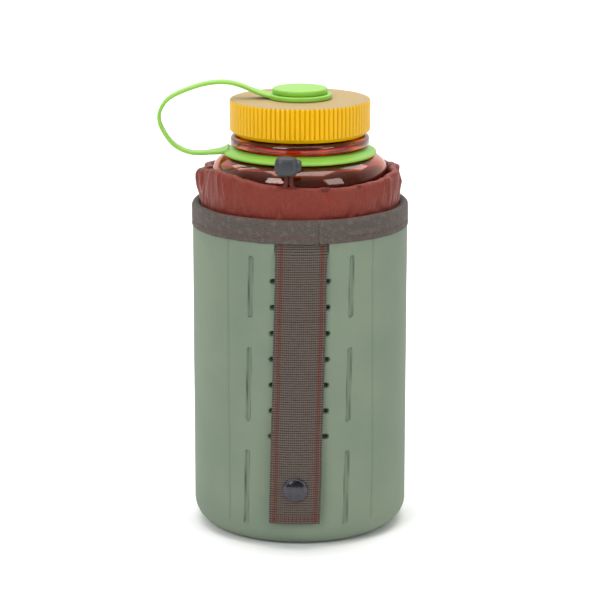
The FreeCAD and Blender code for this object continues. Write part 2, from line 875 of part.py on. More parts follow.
def tab_stations(shift):
    """(height, inner radius) of the strap's sewn root, moved inwards by a negative shift."""
    return [
        (strap_tab_top, strap_tab_inner + shift),
        (rim_foot, strap_tab_inner + shift),
        (strap_hinge_height + strap_piece_gap / 2, strap_inner + shift),
    ]


def make_strap_tab():
    """Sewn root of the strap, held under the binding."""
    return strap_plate(tab_stations(0), webbing_thickness, strap_width)


def make_strap_upper():
    """Strap from its root down to the fold."""
    stations = [
        (strap_hinge_height - strap_piece_gap / 2, strap_inner),
        (strap_fold_height + strap_piece_gap / 2, strap_inner),
    ]
    return strap_plate(stations, webbing_thickness, strap_width)


def make_strap_lower():
    """Strap from the fold to its free end, standing off over the snap."""
    stations = [
        (strap_fold_height - strap_piece_gap / 2, strap_inner),
        (strap_lift_off_height, strap_lifted_inner),
        (strap_bottom, strap_lifted_inner),
    ]
    plate = strap_plate(stations, webbing_thickness, strap_width)
    far = strap_lifted_inner + webbing_thickness
    near = strap_lifted_inner - cutter_margin
    hole = radial_cylinder(snap_rivet_radius + snap_rivet_gap, near, far + cutter_margin)
    return plate.cut(facing(hole, leaning_angle(snap_height), snap_height))


def snap_turned(points):
    """Solid of revolution about the -Y axis from (radius, distance from Z) points, placed at the snap."""
    corners = [Vector(radius, -distance, 0) for radius, distance in points]
    face = Part.Face(Part.makePolygon(corners + corners[:1]))
    body = face.revolve(Vector(0, 0, 0), Vector(0, 1, 0), 360)
    return facing(body, leaning_angle(snap_height), snap_height)


def make_snap_cap(strap):
    """Domed outer part of the snap, with the rivet that goes through the webbing."""
    face = strap_lifted_inner + webbing_thickness
    crown = face + snap_cap_dome
    points = [
        (0, shell_radius + snap_socket_roof + layer_gap),
        (snap_rivet_radius, shell_radius + snap_socket_roof + layer_gap),
        (snap_rivet_radius, face - snap_bedding),
        (snap_cap_radius, face - snap_bedding),
        (snap_cap_radius, crown - snap_cap_round),
        (snap_cap_radius - snap_edge, crown - snap_edge),
        (snap_cap_radius - snap_cap_round, crown),
        (0, crown + snap_crown),
    ]
    return snap_turned(points).cut(strap)


def make_snap_socket(strap):
    """Inner part of the snap, which grips the nub."""
    hollow = snap_nub_radius + snap_nub_gap
    foot = shell_radius + snap_socket_floor
    roof = shell_radius + snap_socket_roof
    points = [
        (hollow, foot),
        (snap_socket_radius - snap_socket_edge, foot),
        (snap_socket_radius, foot + snap_socket_edge),
        (snap_socket_radius, strap_lifted_inner + snap_bite),
        (snap_rivet_radius + layer_gap, strap_lifted_inner + snap_bite),
        (snap_rivet_radius + layer_gap, roof),
        (hollow, roof),
    ]
    return snap_turned(points).cut(strap)


def make_snap_stud():
    """Nub that stands on the shell."""
    nub_top = shell_radius + snap_nub_height
    points = [
        (snap_rivet_radius + layer_gap, shell_radius - snap_bedding),
        (snap_flange_radius, shell_radius - snap_bedding),
        (snap_flange_radius, shell_radius + snap_flange_thickness),
        (snap_nub_radius - snap_edge, shell_radius + snap_flange_thickness),
        (snap_nub_radius, shell_radius + 2 * snap_flange_thickness),
        (snap_nub_radius, nub_top - snap_edge),
        (snap_nub_radius - snap_edge, nub_top),
        (snap_rivet_radius + layer_gap, nub_top),
    ]
    return snap_turned(points).cut(disc(shell_radius, 0, rim_top))


def make_snap_post():
    """Rivet from inside the shell that holds the stud."""
    near = foam_inner + layer_gap
    back = near + snap_back_thickness
    tip = shell_radius + snap_nub_height - snap_rivet_drop
    points = [
        (0, near),
        (snap_back_radius, near),
        (snap_back_radius, back),
        (snap_rivet_radius, back),
        (snap_rivet_radius, tip),
        (0, tip),
    ]
    return snap_turned(points)


def build():
    """Every sub-part by name."""
    ring = make_tether_ring()
    strap_lower = make_strap_lower()
    return {
        "foam_shell": make_foam_shell(),
        "base_pad": make_base_pad(),
        "lining_base": make_lining_base(),
        "lining_tube": make_lining_tube(),
        "rim_binding": make_rim_binding(),
        "binding_stitches": make_binding_stitches(),
        "collar": make_collar(),
        "drawcord": make_drawcord(),
        "snap_stud": make_snap_stud(),
        "snap_post": make_snap_post(),
        "strap_tab": make_strap_tab(),
        "strap_upper": make_strap_upper(),
        "strap_lower": strap_lower,
        "snap_cap": make_snap_cap(strap_lower),
        "snap_socket": make_snap_socket(strap_lower),
        "lock_body": make_lock_body(),
        "lock_plunger": make_lock_plunger(),
        "lock_spring": make_lock_spring(),
        "bottle": make_bottle(),
        "tether_ring": ring,
        "tether_strap_lower": make_tether_strap_lower(ring),
        "tether_strap_upper": make_tether_strap_upper(),
        "tether_eye": make_tether_eye(),
        "retainer_button": make_retainer_button(),
        "cap": make_cap(),
    }


os.makedirs("parts", exist_ok=True)
for name, shape in build().items():
    shape.exportStep("parts/" + name + ".step")
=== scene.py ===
import math

import bmesh
import bpy
from bpy.props import FloatProperty, FloatVectorProperty, IntProperty, PointerProperty
from mathutils import Matrix, Vector, noise
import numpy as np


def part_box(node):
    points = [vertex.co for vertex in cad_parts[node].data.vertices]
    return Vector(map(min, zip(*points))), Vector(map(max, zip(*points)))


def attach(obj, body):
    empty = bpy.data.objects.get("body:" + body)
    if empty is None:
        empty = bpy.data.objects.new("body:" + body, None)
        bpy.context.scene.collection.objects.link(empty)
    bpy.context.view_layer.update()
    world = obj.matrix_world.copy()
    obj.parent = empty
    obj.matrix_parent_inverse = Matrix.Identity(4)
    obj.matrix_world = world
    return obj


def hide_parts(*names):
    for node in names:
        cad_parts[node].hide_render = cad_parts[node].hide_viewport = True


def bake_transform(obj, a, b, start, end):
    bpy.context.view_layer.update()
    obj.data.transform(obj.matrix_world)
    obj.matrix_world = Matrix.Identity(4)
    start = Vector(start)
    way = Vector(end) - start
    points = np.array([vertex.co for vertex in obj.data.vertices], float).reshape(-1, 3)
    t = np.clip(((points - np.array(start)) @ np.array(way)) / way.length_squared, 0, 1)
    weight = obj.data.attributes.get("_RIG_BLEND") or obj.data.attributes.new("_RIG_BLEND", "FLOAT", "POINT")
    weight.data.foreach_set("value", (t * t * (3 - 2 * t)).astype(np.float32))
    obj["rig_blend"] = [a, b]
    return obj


bl_info = {
    "name": "Sleeved bottle",
    "version": (1, 0, 0),
    "blender": (4, 5, 0),
    "location": "View3D > Sidebar > Bottle",
    "description": "Wide-mouth bottle with a tethered cap in an insulated sleeve with a drawcord collar",
    "category": "Object",
}

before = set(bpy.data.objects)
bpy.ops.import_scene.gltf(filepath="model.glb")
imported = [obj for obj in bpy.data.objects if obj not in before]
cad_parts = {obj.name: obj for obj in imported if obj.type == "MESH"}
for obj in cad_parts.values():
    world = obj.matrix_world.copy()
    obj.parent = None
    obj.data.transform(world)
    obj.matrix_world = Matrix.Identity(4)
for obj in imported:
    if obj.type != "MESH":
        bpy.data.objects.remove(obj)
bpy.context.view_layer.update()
boxes = {node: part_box(node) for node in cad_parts}

MM = 0.001
TURN = 2 * math.pi


# ---------------------------------------------------------------- sizes and colours


def linear(hex_value):
    """Linear colour from an sRGB hex value such as "8a9685"."""
    parts = [int(hex_value[index:index + 2], 16) / 255 for index in (0, 2, 4)]
    return tuple(part / 12.92 if part <= 0.04045 else ((part + 0.055) / 1.055) ** 2.4 for part in parts)


def length(label, default, description):
    """A length property in metres."""
    return FloatProperty(name=label, default=default, description=description, unit="LENGTH", precision=5)


def turn(label, degrees, description):
    """An angle property."""
    return FloatProperty(name=label, default=math.radians(degrees), description=description, unit="ROTATION")


def colour(label, hex_value, description):
    """A colour property, given as sRGB hex."""
    return FloatVectorProperty(
        name=label, subtype="COLOR", size=3, min=0.0, max=1.0, default=linear(hex_value), description=description)


class ShellSizes(bpy.types.PropertyGroup):
    """Moulded foam shell."""

    corner: length("Bottom corner", 0.012, "Radius of the round bottom edge")
    rim_thickness: length("Rim thickness", 0.0028, "Foam left under the binding")
    rim_recess: length("Rim recess", 0.0004, "How far the rim stands back from the wall")
    flare: length("Mouth flare", 0.010, "Height over which the pocket widens to the rim")
    mesh_step: length("Mesh step", 0.0006, "Distance between points on the detailed front")
    groove_width: length("Groove width", 0.0029, "Width of an upright pressed groove")
    groove_depth: length("Groove depth", 0.0011, "Depth of an upright pressed groove")
    slot_height: length("Slot height", 0.0026, "Height of a slot behind the strap")
    slot_depth: length("Slot depth", 0.0024, "Depth of a slot behind the strap")
    slot_overhang: length("Slot overhang", 0.0026, "How far a slot shows beside the strap")
    slot_lowest: length("Lowest slot", 0.0582, "Height of the lowest slot")
    slot_pitch: length("Slot pitch", 0.0132, "Distance between slots")
    slot_count: IntProperty(name="Slots", default=7, description="Number of slots behind the strap")
    crease_depth: length("Crease depth", 0.0003, "Depth of the faint upright mould creases")


class ClothSizes(bpy.types.PropertyGroup):
    """Binding, collar and lining."""

    tape: length("Tape thickness", 0.0007, "Thickness of the binding tape")
    nylon: length("Nylon thickness", 0.0005, "Thickness of the collar's nylon")
    lining: length("Lining thickness", 0.0006, "Thickness of the lining")
    overlap_angle: turn("Tape overlap", 10, "Front angle where the tape's end laps over its start")
    fold_depth: length("Fold depth", 0.0024, "Depth of the collar's gathers near the hem")
    hem_width: length("Hem width", 0.0039, "Width of the hem that holds the cord")
    stitch_pitch: length("Stitch pitch", 0.0032, "Distance between stitches in the binding")
    stitch_length: length("Stitch length", 0.0023, "Length of one stitch")
    thread: length("Thread", 0.00042, "Diameter of the sewing thread")


class StrapSizes(bpy.types.PropertyGroup):
    """Webbing strap and its snap."""

    width: length("Strap width", 0.0254, "Width of the webbing")
    thickness: length("Strap thickness", 0.0016, "Thickness of the webbing")
    middle_angle: turn("Middle angle", -1, "Front angle of the strap at the fold")
    lean: FloatProperty(name="Lean", default=math.radians(25.5), description="Turn per metre of height")
    lift_off: length("Lift-off height", 0.048, "Height below which the strap stands off over the snap")
    stand_off: length("Stand-off", 0.00245, "How far the end stands off the shell")
    join: length("Join height", 0.118, "Height where the strap's two drawn lengths meet")
    rib_pitch: length("Rib pitch", 0.0012, "Distance between weft ribs")
    column_pitch: length("Column pitch", 0.0020, "Distance between warp columns")
    rib_height: length("Rib height", 0.00016, "Height of a weft rib")
    snap_height: length("Snap height", 0.032, "Height of the press snap")
    snap_radius: length("Snap radius", 0.00625, "Radius of the snap's cap")
    snap_dome: length("Snap dome", 0.0016, "Height of the snap's dome")


class BottleSizes(bpy.types.PropertyGroup):
    """Bottle and screw cap."""

    wall: length("Bottle wall", 0.0022, "Wall of the bottle's body")
    corner: length("Bottle corner", 0.010, "Radius of the bottle's bottom edge")
    dish: length("Dish depth", 0.0025, "Depth of the dished underside")
    dish_radius: length("Dish radius", 0.031, "Radius of the dished underside")
    shoulder: length("Shoulder radius", 0.009, "Radius between the wall and the shoulder")
    slope: turn("Shoulder slope", 28, "Slope of the shoulder below the level")
    body_height: length("Body height", 0.17225, "Height of the straight body above the foot")
    neck: length("Neck radius", 0.0299, "Radius of the threaded neck")
    bore: length("Bore radius", 0.0267, "Radius of the mouth")
    neck_root: length("Neck root radius", 0.0314, "Radius of the neck below the bead")
    bead: length("Bead radius", 0.0351, "Radius of the bead under the cap")
    finish: length("Finish height", 0.0155, "Height of the threaded neck above the bead")
    bead_height: length("Bead height", 0.0048, "Height of the bead")
    thread_lead: length("Thread lead", 0.0254 / 6, "Rise of the thread in one turn")
    thread_depth: length("Thread depth", 0.0012, "How far the thread stands out")
    cap_bevel: length("Cap bevel", 0.0021, "Bevel at the cap's foot")
    cap_round: length("Cap edge", 0.0012, "Round of the cap's top edge")
    cap_top_wall: length("Cap top wall", 0.0026, "Thickness of the cap's top")
    cap_bore: length("Cap bore", 0.0316, "Inner radius of the cap")
    rib_height: length("Cap rib height", 0.0009, "Height of a grip rib")
    rib_count: IntProperty(name="Cap ribs", default=90, description="Number of grip ribs round the cap")


class TetherSizes(bpy.types.PropertyGroup):
    """Moulded tether."""

    thickness: length("Tether thickness", 0.0021, "Thickness of the moulded strap")
    width: length("Tether width", 0.0066, "Width of the moulded strap")
    reach: length("Tether reach", 0.071, "How far the loop stands out from the axis")
    ring_inner: length("Ring inner radius", 0.0322, "Inner radius of the neck ring")
    eye_hole: length("Eye hole", 0.0073, "Radius of the eye's hole")
    lug: length("Lug half width", 0.0078, "Half width of the strap where it joins the ring")
    voxel: length("Voxel", 0.0004, "Grain of the merged moulding")


class StageSizes(bpy.types.PropertyGroup):
    """Floor, light and camera."""

    aim_height: length("Aim height", 0.11528, "Height of the point that the camera faces")
    distance: length("Camera distance", 1.29751, "Distance from the camera to that point")
    elevation: turn("Camera elevation", 13.6089, "Height of the camera above the level")
    lens: FloatProperty(name="Lens", default=151.9, description="Focal length in millimetres")
    floor: length("Floor width", 6.0, "Width of the floor")


class Colours(bpy.types.PropertyGroup):
    """Colours of the materials."""

    foam: colour("Foam", "6f7d6c", "Sage face of the moulded foam")
    foam_light: colour("Foam, light", "778571", "Lighter patches of the foam's face")
    lining: colour("Lining", "6d6a66", "Coated lining cloth")
    pad: colour("Pad", "8b8d8a", "Closed-cell base pad")
    tape: colour("Tape", "5e554f", "Grey binding tape")
    tape_dark: colour("Tape, dark", "302824", "Dark flecks of the binding tape")
    rust_thread: colour("Rust thread", "7c4438", "Sewing thread")
    nylon: colour("Nylon", "802b1a", "Rust collar cloth")
    nylon_dark: colour("Nylon, dark", "672113", "Shaded yarns of the collar cloth")
    webbing: colour("Webbing", "61564f", "Light yarns of the webbing")
    # Painted shade for the gaps between the webbing's ribs.
    webbing_gap_shade: colour("Webbing gaps", "26201d", "Gaps between the ribs")
    webbing_rust: colour("Webbing stripes", "6e392d", "Rust stripes of the webbing")
    gunmetal: colour("Gunmetal", "454449", "Plated steel of the snap")
    lock: colour("Lock", "2c2d31", "Moulded cord lock")
    amber: colour("Amber", "e8650a", "Tint of the bottle")
    green: colour("Green", "84ba42", "Moulded tether")
    yellow: colour("Yellow", "e2b002", "Moulded cap")
    # Painted reflection: a dull whitish beige for the cap's top, standing in for the bright room that the rough top
    # reflects.
    yellow_top_painted_reflection: colour("Yellow, top", "a88f60", "Etched top of the cap")
    floor: colour("Floor", "f4f4f3", "Pale studio floor")


class SleevedBottle(bpy.types.PropertyGroup):
    """All sizes and colours of the sleeved bottle."""

    shell: PointerProperty(type=ShellSizes)
    cloth: PointerProperty(type=ClothSizes)
    strap: PointerProperty(type=StrapSizes)
    bottle: PointerProperty(type=BottleSizes)
    tether: PointerProperty(type=TetherSizes)
    stage: PointerProperty(type=StageSizes)
    colours: PointerProperty(type=Colours)


# ---------------------------------------------------------------- shared geometry


def foot_of(node):
    """Lowest height of a node."""
    return boxes[node][0].z


def top_of(node):
    """Highest height of a node."""
    return boxes[node][1].z


def radius_of(node):
    """Outer radius of a node that is round about Z."""
    return boxes[node][1].x


def smooth(share):
    """Smooth step from 0 to 1."""
    share = min(max(share, 0.0), 1.0)
    return share * share * (3 - 2 * share)


def swell(value, centre, half_width):
    """Bell of height 1 about a centre."""
    return math.exp(-((value - centre) / half_width) ** 2)


def placed(radius, angle, height):
    """Point at a radius, a front angle and a height. The front is -Y, and angles grow towards +X."""
    return Vector((radius * math.sin(angle), -radius * math.cos(angle), height))


def front_angle(point):
    """Front angle of a point."""
    return math.atan2(point.x, -point.y)


def straight(start, end, step):
    """Points of a straight run, without its start."""
    gap = math.dist(start, end)
    count = max(1, math.ceil(gap / step - 1e-6))
    return [tuple(a + (b - a) * (index + 1) / count for a, b in zip(start, end)) for index in range(count)]


def rounded(centre, radius, first, last, step):
    """Points of an arc between two angles in degrees, without its first."""
    sweep = math.radians(last - first)
    count = max(2, math.ceil(abs(sweep) * radius / step))
    points = []
    for index in range(count):
        angle = math.radians(first) + sweep * (index + 1) / count
        points.append((centre[0] + radius * math.cos(angle), centre[1] + radius * math.sin(angle)))
    return points


def spun(outline, sectors, closed=False, start=0.0):
    """Turns (radius, height) points round Z in (angle, steps) sectors. Verts keep their place along the outline."""
    bm = bmesh.new()
    along = bm.verts.layers.float.new("along")
    verts = []
    for radius, height in outline:
        vert = bm.verts.new(placed(radius, start, height))
        vert[along] = verts[-1][along] + (vert.co - verts[-1].co).length if verts else 0.0
        verts.append(vert)
    edges = [bm.edges.new(pair) for pair in zip(verts, verts[1:])]
    if closed:
        edges.append(bm.edges.new((verts[-1], verts[0])))
    moving = verts + edges
    whole = len(sectors) == 1 and abs(sectors[0][0]) >= TURN - 1e-6
    for angle, steps in sectors:
        made = bmesh.ops.spin(
            bm, geom=moving, cent=(0, 0, 0), axis=(0, 0, 1), angle=angle, steps=steps, use_merge=whole)
        moving = made["geom_last"]
    bmesh.ops.remove_doubles(bm, verts=bm.verts, dist=1e-6)
    bmesh.ops.recalc_face_normals(bm, faces=bm.faces)
    return bm


def unrolled(bm, radius):
    """Gives a round piece a UV map in millimetres: round it, and along its outline."""
    weave = bm.loops.layers.uv.new("weave")
    along = bm.verts.layers.float["along"]
    for face in bm.faces:
        middle = front_angle(face.calc_center_median())
        for loop in face.loops:
            angle = middle + math.remainder(front_angle(loop.vert.co) - middle, TURN)
            loop[weave].uv = (angle * radius / MM, loop.vert[along] / MM)


def swept(line, across, section):
    """Closed bar along a line of points: section(share) gives (sideways, outwards) points at a share of the line."""
    bm = bmesh.new()
    rings = []
    for index, point in enumerate(line):
        ahead = line[min(index + 1, len(line) - 1)] - line[max(index - 1, 0)]
        outwards = across.cross(ahead).normalized()
        ring = []
        for sideways, out in section(index / (len(line) - 1)):
            ring.append(bm.verts.new(point + across * sideways + outwards * out))
        rings.append([bm.edges.new((a, b)) for a, b in zip(ring, ring[1:] + ring[:1])])
        if index in (0, len(line) - 1):
            bm.faces.new(ring)
    for near, far in zip(rings, rings[1:]):
        bmesh.ops.bridge_loops(bm, edges=near + far)
    bmesh.ops.recalc_face_normals(bm, faces=bm.faces)
    return bm


def through(points, spans):
    """Smooth line through points, with so many steps between two of them."""
    line = []
    padded = [2 * points[0] - points[1]] + points + [2 * points[-1] - points[-2]]
    for a, b, c, d in zip(padded, padded[1:], padded[2:], padded[3:]):
        for step in range(spans):
            t = step / spans
            line.append(0.5 * (2 * b + (c - a) * t + (2 * a - 5 * b + 4 * c - d) * t * t
                               + (3 * b - a - 3 * c + d) * t ** 3))
    return line + [points[-1]]


def made(name, bm, material, crisp=40):
    """Object from a bmesh, smooth except where it turns by more than an angle in degrees."""
    mesh = bpy.data.meshes.new(name)
    bm.to_mesh(mesh)
    bm.free()
    mesh.materials.append(material)
    mesh.shade_smooth()
    mesh.set_sharp_from_angle(angle=math.radians(crisp))
    piece = bpy.data.objects.new(name, mesh)
    bpy.context.scene.collection.objects.link(piece)
    return piece


def thickened(piece, thickness, offset=0.0):
    """Gives an open sheet its thickness with a Solidify modifier."""
    solid = piece.modifiers.new("thickness", "SOLIDIFY")
    solid.thickness = thickness
    solid.offset = offset
    solid.use_even_offset = True
    return piece


def repaint(node, material):
    """Gives a CAD node a procedural material."""
    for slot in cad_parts[node].material_slots:
        slot.material = material


def joined(parts):
    """One bmesh from several."""
    whole = bmesh.new()
    for part in parts:
        mesh = bpy.data.meshes.new("part")
        part.to_mesh(mesh)
        part.free()
        whole.from_mesh(mesh)
        bpy.data.meshes.remove(mesh)
    return whole


# ---------------------------------------------------------------- shared material work


def add(tree, kind, inputs, **settings):
    """Adds a shader node: inputs maps a socket's name or number to a value or to another node's output."""
    step = tree.nodes.new("ShaderNode" + kind)
    for key, value in settings.items():
        setattr(step, key, value)
    for key, value in inputs.items():
        if isinstance(value, bpy.types.NodeSocket):
            tree.links.new(value, step.inputs[key])
        else:
            step.inputs[key].default_value = value
    return step


def blank(name):
    """New node material with its shader, and the two coordinates that patterns use."""
    material = bpy.data.materials.new(name)
    material.use_nodes = True
    tree = material.node_tree
    shader = tree.nodes["Principled BSDF"]
    place = tree.nodes.new("ShaderNodeTexCoord")
    return material, tree, shader, place


def opaque(rgb):
    """Colour with full alpha."""
    return tuple(rgb) + (1.0,)


def mixed(tree, share, first, second):
    """Colour between two colours."""
    mix = add(tree, "Mix", {0: share, 6: first, 7: second}, data_type="RGBA")
    return mix.outputs[2]


def worked(tree, operation, first, second=0.0, third=0.0, clamp=False):
    """Result of a Math node."""
    step = add(tree, "Math", {0: first, 1: second, 2: third}, operation=operation, use_clamp=clamp)
    return step.outputs[0]


def grain(tree, where, size, detail=2.0, roughness=0.5):
    """Noise whose features are about a size in metres."""
    step = add(tree, "TexNoise", {"Vector": where, "Scale": 1.0 / size, "Detail": detail, "Roughness": roughness})
    return step.outputs["Fac"]


def spread(tree, value, low, high, least=0.0, most=1.0):
    """Maps a value from one range to another, kept inside it."""
    step = add(tree, "MapRange", {0: value, 1: low, 2: high, 3: least, 4: most})
    return step.outputs[0]


def raised(tree, shader, height, distance, strength=1.0):
    """Bump from a height between 0 and 1, of a distance in metres."""
    step = add(tree, "Bump", {"Height": height, "Distance": distance, "Strength": strength})
    tree.links.new(step.outputs[0], shader.inputs["Normal"])
    return step


def threads(tree, across, along, across_pitch, along_pitch):
    """Plain weave: height 0 to 1 of over-and-under threads at two pitches in the map's own unit."""
    first = worked(tree, "SINE", worked(tree, "MULTIPLY", across, math.pi / across_pitch))
    second = worked(tree, "SINE", worked(tree, "MULTIPLY", along, math.pi / along_pitch))
    crossed = worked(tree, "MULTIPLY", first, second)
    return spread(tree, crossed, -1.0, 1.0)


# ---------------------------------------------------------------- materials


def moulded_foam(tint):
    """Ethylene foam with a knitted face, hot-pressed: dead matt, with faint cloudy patches, a fine tooth, and painted
    shade along its pressed grooves, in its slots and on its creases.
    """
    material, tree, shader, place = blank("moulded_foam")
    where = place.outputs["Object"]
    cloud = grain(tree, where, 0.035, 3.0)
    tooth = grain(tree, where, 0.0007, 2.0, 0.6)
    shade = mixed(tree, spread(tree, cloud, 0.35, 0.65), opaque(tint.foam), opaque(tint.foam_light))
    dark = tuple(part * 0.9 for part in tint.foam)
    speck = mixed(tree, spread(tree, tooth, 0.55, 0.8, 0.0, 0.5), shade, opaque(dark))
    # Painted shade: the groove edges, slots and creases, weighted by the shell's vertex attribute, are darkened
    # towards a deep foam colour.
    painted_shade_mask = add(tree, "Attribute", {}, attribute_name="painted_groove_shade")
    deep = tuple(part * 0.22 for part in tint.foam)
    shaded_foam = mixed(tree, worked(tree, "MULTIPLY", painted_shade_mask.outputs["Fac"], 0.9), speck, opaque(deep))
    tree.links.new(shaded_foam, shader.inputs["Base Color"])
    tree.links.new(spread(tree, cloud, 0.3, 0.7, 0.72, 0.82), shader.inputs["Roughness"])
    raised(tree, shader, tooth, 0.00008, 0.5)
    shader.inputs["Specular IOR Level"].default_value = 0.22
    shader.inputs["Sheen Weight"].default_value = 0.05
    shader.inputs["Sheen Roughness"].default_value = 0.6
    return material


def cell_foam(tint):
    """Closed-cell foam cut from a sheet: matt, with the small pits of its cut cells."""
    material, tree, shader, place = blank("closed_cell_foam")
    cells = add(tree, "TexVoronoi", {"Vector": place.outputs["Object"], "Scale": 1 / 0.0012})
    pits = spread(tree, cells.outputs["Distance"], 0.1, 0.6)
    dark = tuple(part * 0.6 for part in tint.pad)
    tree.links.new(mixed(tree, pits, opaque(dark), opaque(tint.pad)), shader.inputs["Base Color"])
    raised(tree, shader, pits, 0.0002, 0.6)
    shader.inputs["Roughness"].default_value = 0.9
    return material


def coated_lining(tint):
    """Polyurethane-coated polyester taffeta: a fine square weave with a soft, slightly wet gloss."""
    material, tree, shader, place = blank("coated_lining")
    flat = add(tree, "SeparateXYZ", {0: place.outputs["UV"]})
    weave = threads(tree, flat.outputs[0], flat.outputs[1], 0.5, 0.5)
    dark = tuple(part * 0.75 for part in tint.lining)
    tree.links.new(mixed(tree, weave, opaque(dark), opaque(tint.lining)), shader.inputs["Base Color"])
    raised(tree, shader, weave, 0.00006, 0.6)
    shader.inputs["Roughness"].default_value = 0.5
    return material


def binding_tape(tint):
    """Folded grosgrain polyester tape: fine upright ribs and a heathered grey of light and dark yarns."""
    material, tree, shader, place = blank("grosgrain_tape")
    flat = add(tree, "SeparateXYZ", {0: place.outputs["UV"]})
    ribs = worked(tree, "SINE", worked(tree, "MULTIPLY", flat.outputs[0], TURN / 0.62))
    picks = worked(tree, "SINE", worked(tree, "MULTIPLY", flat.outputs[1], TURN / 0.55))
    fleck = grain(tree, place.outputs["UV"], 0.45, 2.0, 0.7)
    cloud = grain(tree, place.outputs["UV"], 3.0, 2.0)
    height = worked(tree, "MULTIPLY_ADD", ribs, 0.3, worked(tree, "MULTIPLY", picks, 0.2))
    height = worked(tree, "ADD", height, fleck)
    shade = mixed(tree, spread(tree, fleck, 0.36, 0.6), opaque(tint.tape_dark), opaque(tint.tape))
    light = tuple(min(part * 1.35, 1.0) for part in tint.tape)
    shade = mixed(tree, spread(tree, cloud, 0.5, 0.8, 0.0, 0.6), shade, opaque(light))
    tree.links.new(shade, shader.inputs["Base Color"])
    raised(tree, shader, height, 0.00012, 0.7)
    shader.inputs["Roughness"].default_value = 0.78
    shader.inputs["Specular IOR Level"].default_value = 0.3
    shader.inputs["Sheen Weight"].default_value = 0.06
    return material


def collar_nylon(tint):
    """Light nylon taffeta: a fine plain weave that glows a little along its folds."""
    material, tree, shader, place = blank("nylon_taffeta")
    flat = add(tree, "SeparateXYZ", {0: place.outputs["UV"]})
    weave = threads(tree, flat.outputs[0], flat.outputs[1], 0.42, 0.42)
    slub = grain(tree, place.outputs["UV"], 1.6, 3.0, 0.6)
    shade = mixed(tree, spread(tree, slub, 0.2, 0.8), opaque(tint.nylon_dark), opaque(tint.nylon))
    deep = tuple(part * 0.82 for part in tint.nylon_dark)
    shade = mixed(tree, spread(tree, weave, 0.0, 0.5, 0.35, 0.0), shade, opaque(deep))
    tree.links.new(shade, shader.inputs["Base Color"])
    raised(tree, shader, weave, 0.00006, 0.5)
    shader.inputs["Roughness"].default_value = 0.5
    shader.inputs["Specular IOR Level"].default_value = 0.35
    shader.inputs["Sheen Weight"].default_value = 0.06
    shader.inputs["Sheen Roughness"].default_value = 0.4
    return material


def sewing_thread(tint):
    """Bonded polyester thread: two plies twisted together, with a slight gloss."""
    material, tree, shader, place = blank("bonded_thread")
    twist = add(tree, "TexWave", {"Vector": place.outputs["Object"], "Scale": 1 / 0.0012, "Distortion": 0.4},
                bands_direction="DIAGONAL")
    dark = tuple(part * 0.55 for part in tint.rust_thread)
    shade = mixed(tree, twist.outputs["Fac"], opaque(dark), opaque(tint.rust_thread))
    tree.links.new(shade, shader.inputs["Base Color"])
    raised(tree, shader, twist.outputs["Fac"], 0.0001, 0.6)
    shader.inputs["Roughness"].default_value = 0.6
    return material


def braided_cord(tint):
    """Elastic cord in a braided nylon jacket: small slanting plaits, matt."""
    material, tree, shader, place = blank("braided_cord")
    cells = add(tree, "TexVoronoi", {"Vector": place.outputs["Object"], "Scale": 1 / 0.0008})
    plait = spread(tree, cells.outputs["Distance"], 0.0, 0.7, 1.0, 0.0)
    dark = tuple(part * 0.45 for part in tint.nylon_dark)
    tree.links.new(mixed(tree, plait, opaque(dark), opaque(tint.nylon_dark)), shader.inputs["Base Color"])
    raised(tree, shader, plait, 0.0002, 0.8)
    shader.inputs["Roughness"].default_value = 0.8
    return material


def webbing_weave(tint, sizes):
    """Woven polyester webbing: light weft ribs, painted shade in the gaps between them, and two rust warp stripes."""
    material, tree, shader, place = blank("polyester_webbing")
    flat = add(tree, "SeparateXYZ", {0: place.outputs["UV"]})
    across, along = flat.outputs[0], flat.outputs[1]
    pitch, column = sizes.rib_pitch / MM, sizes.column_pitch / MM
    jitter = grain(tree, place.outputs["UV"], 2.5, 2.0)
    shifted = worked(tree, "MULTIPLY_ADD", jitter, 0.35, along)
    rib = worked(tree, "ABSOLUTE", worked(tree, "SINE", worked(tree, "MULTIPLY", shifted, math.pi / pitch)))
    warp = worked(tree, "ABSOLUTE", worked(tree, "SINE", worked(tree, "MULTIPLY", across, math.pi / column * 2)))
    fleck = grain(tree, place.outputs["UV"], 0.5, 1.0)
    lift = worked(tree, "MULTIPLY", rib, spread(tree, warp, 0.0, 0.6, 0.4, 1.0))
    lift = worked(tree, "MULTIPLY", lift, spread(tree, fleck, 0.3, 0.7, 0.7, 1.15))
    half = sizes.width / MM / 2
    left = spread(tree, worked(tree, "ABSOLUTE", worked(tree, "ADD", across, half - 2.9)), 0.7, 1.1, 1.0, 0.0)
    right = spread(tree, worked(tree, "ABSOLUTE", worked(tree, "SUBTRACT", across, half - 2.45)), 0.75, 1.15, 1.0, 0.0)
    stripe = worked(tree, "MAXIMUM", left, right)
    yarn = mixed(tree, worked(tree, "MULTIPLY", stripe, 0.7), opaque(tint.webbing), opaque(tint.webbing_rust))
    # Where the ribs dip, the colour falls to the painted gap shade.
    shade = mixed(tree, spread(tree, lift, 0.25, 0.75), opaque(tint.webbing_gap_shade), yarn)
    tree.links.new(shade, shader.inputs["Base Color"])
    raised(tree, shader, lift, 0.00015, 0.6)
    shader.inputs["Roughness"].default_value = 0.8
    shader.inputs["Specular IOR Level"].default_value = 0.25
    return material


def plated_steel(tint):
    """Pressed steel with a black-nickel plating: dark, smooth, with hairline rubbing from use."""
    material, tree, shader, place = blank("black_nickel_steel")
    stretched = add(tree, "Mapping", {0: place.outputs["Object"], 3: (1.0, 1.0, 6.0)})
    rub = grain(tree, stretched.outputs[0], 0.002, 4.0, 0.7)
    light = tuple(min(part * 1.9, 1.0) for part in tint.gunmetal)
    tree.links.new(mixed(tree, spread(tree, rub, 0.45, 0.75), opaque(tint.gunmetal), opaque(light)),
                   shader.inputs["Base Color"])
    tree.links.new(spread(tree, rub, 0.3, 0.7, 0.14, 0.26), shader.inputs["Roughness"])
    shader.inputs["Metallic"].default_value = 1.0
    return material


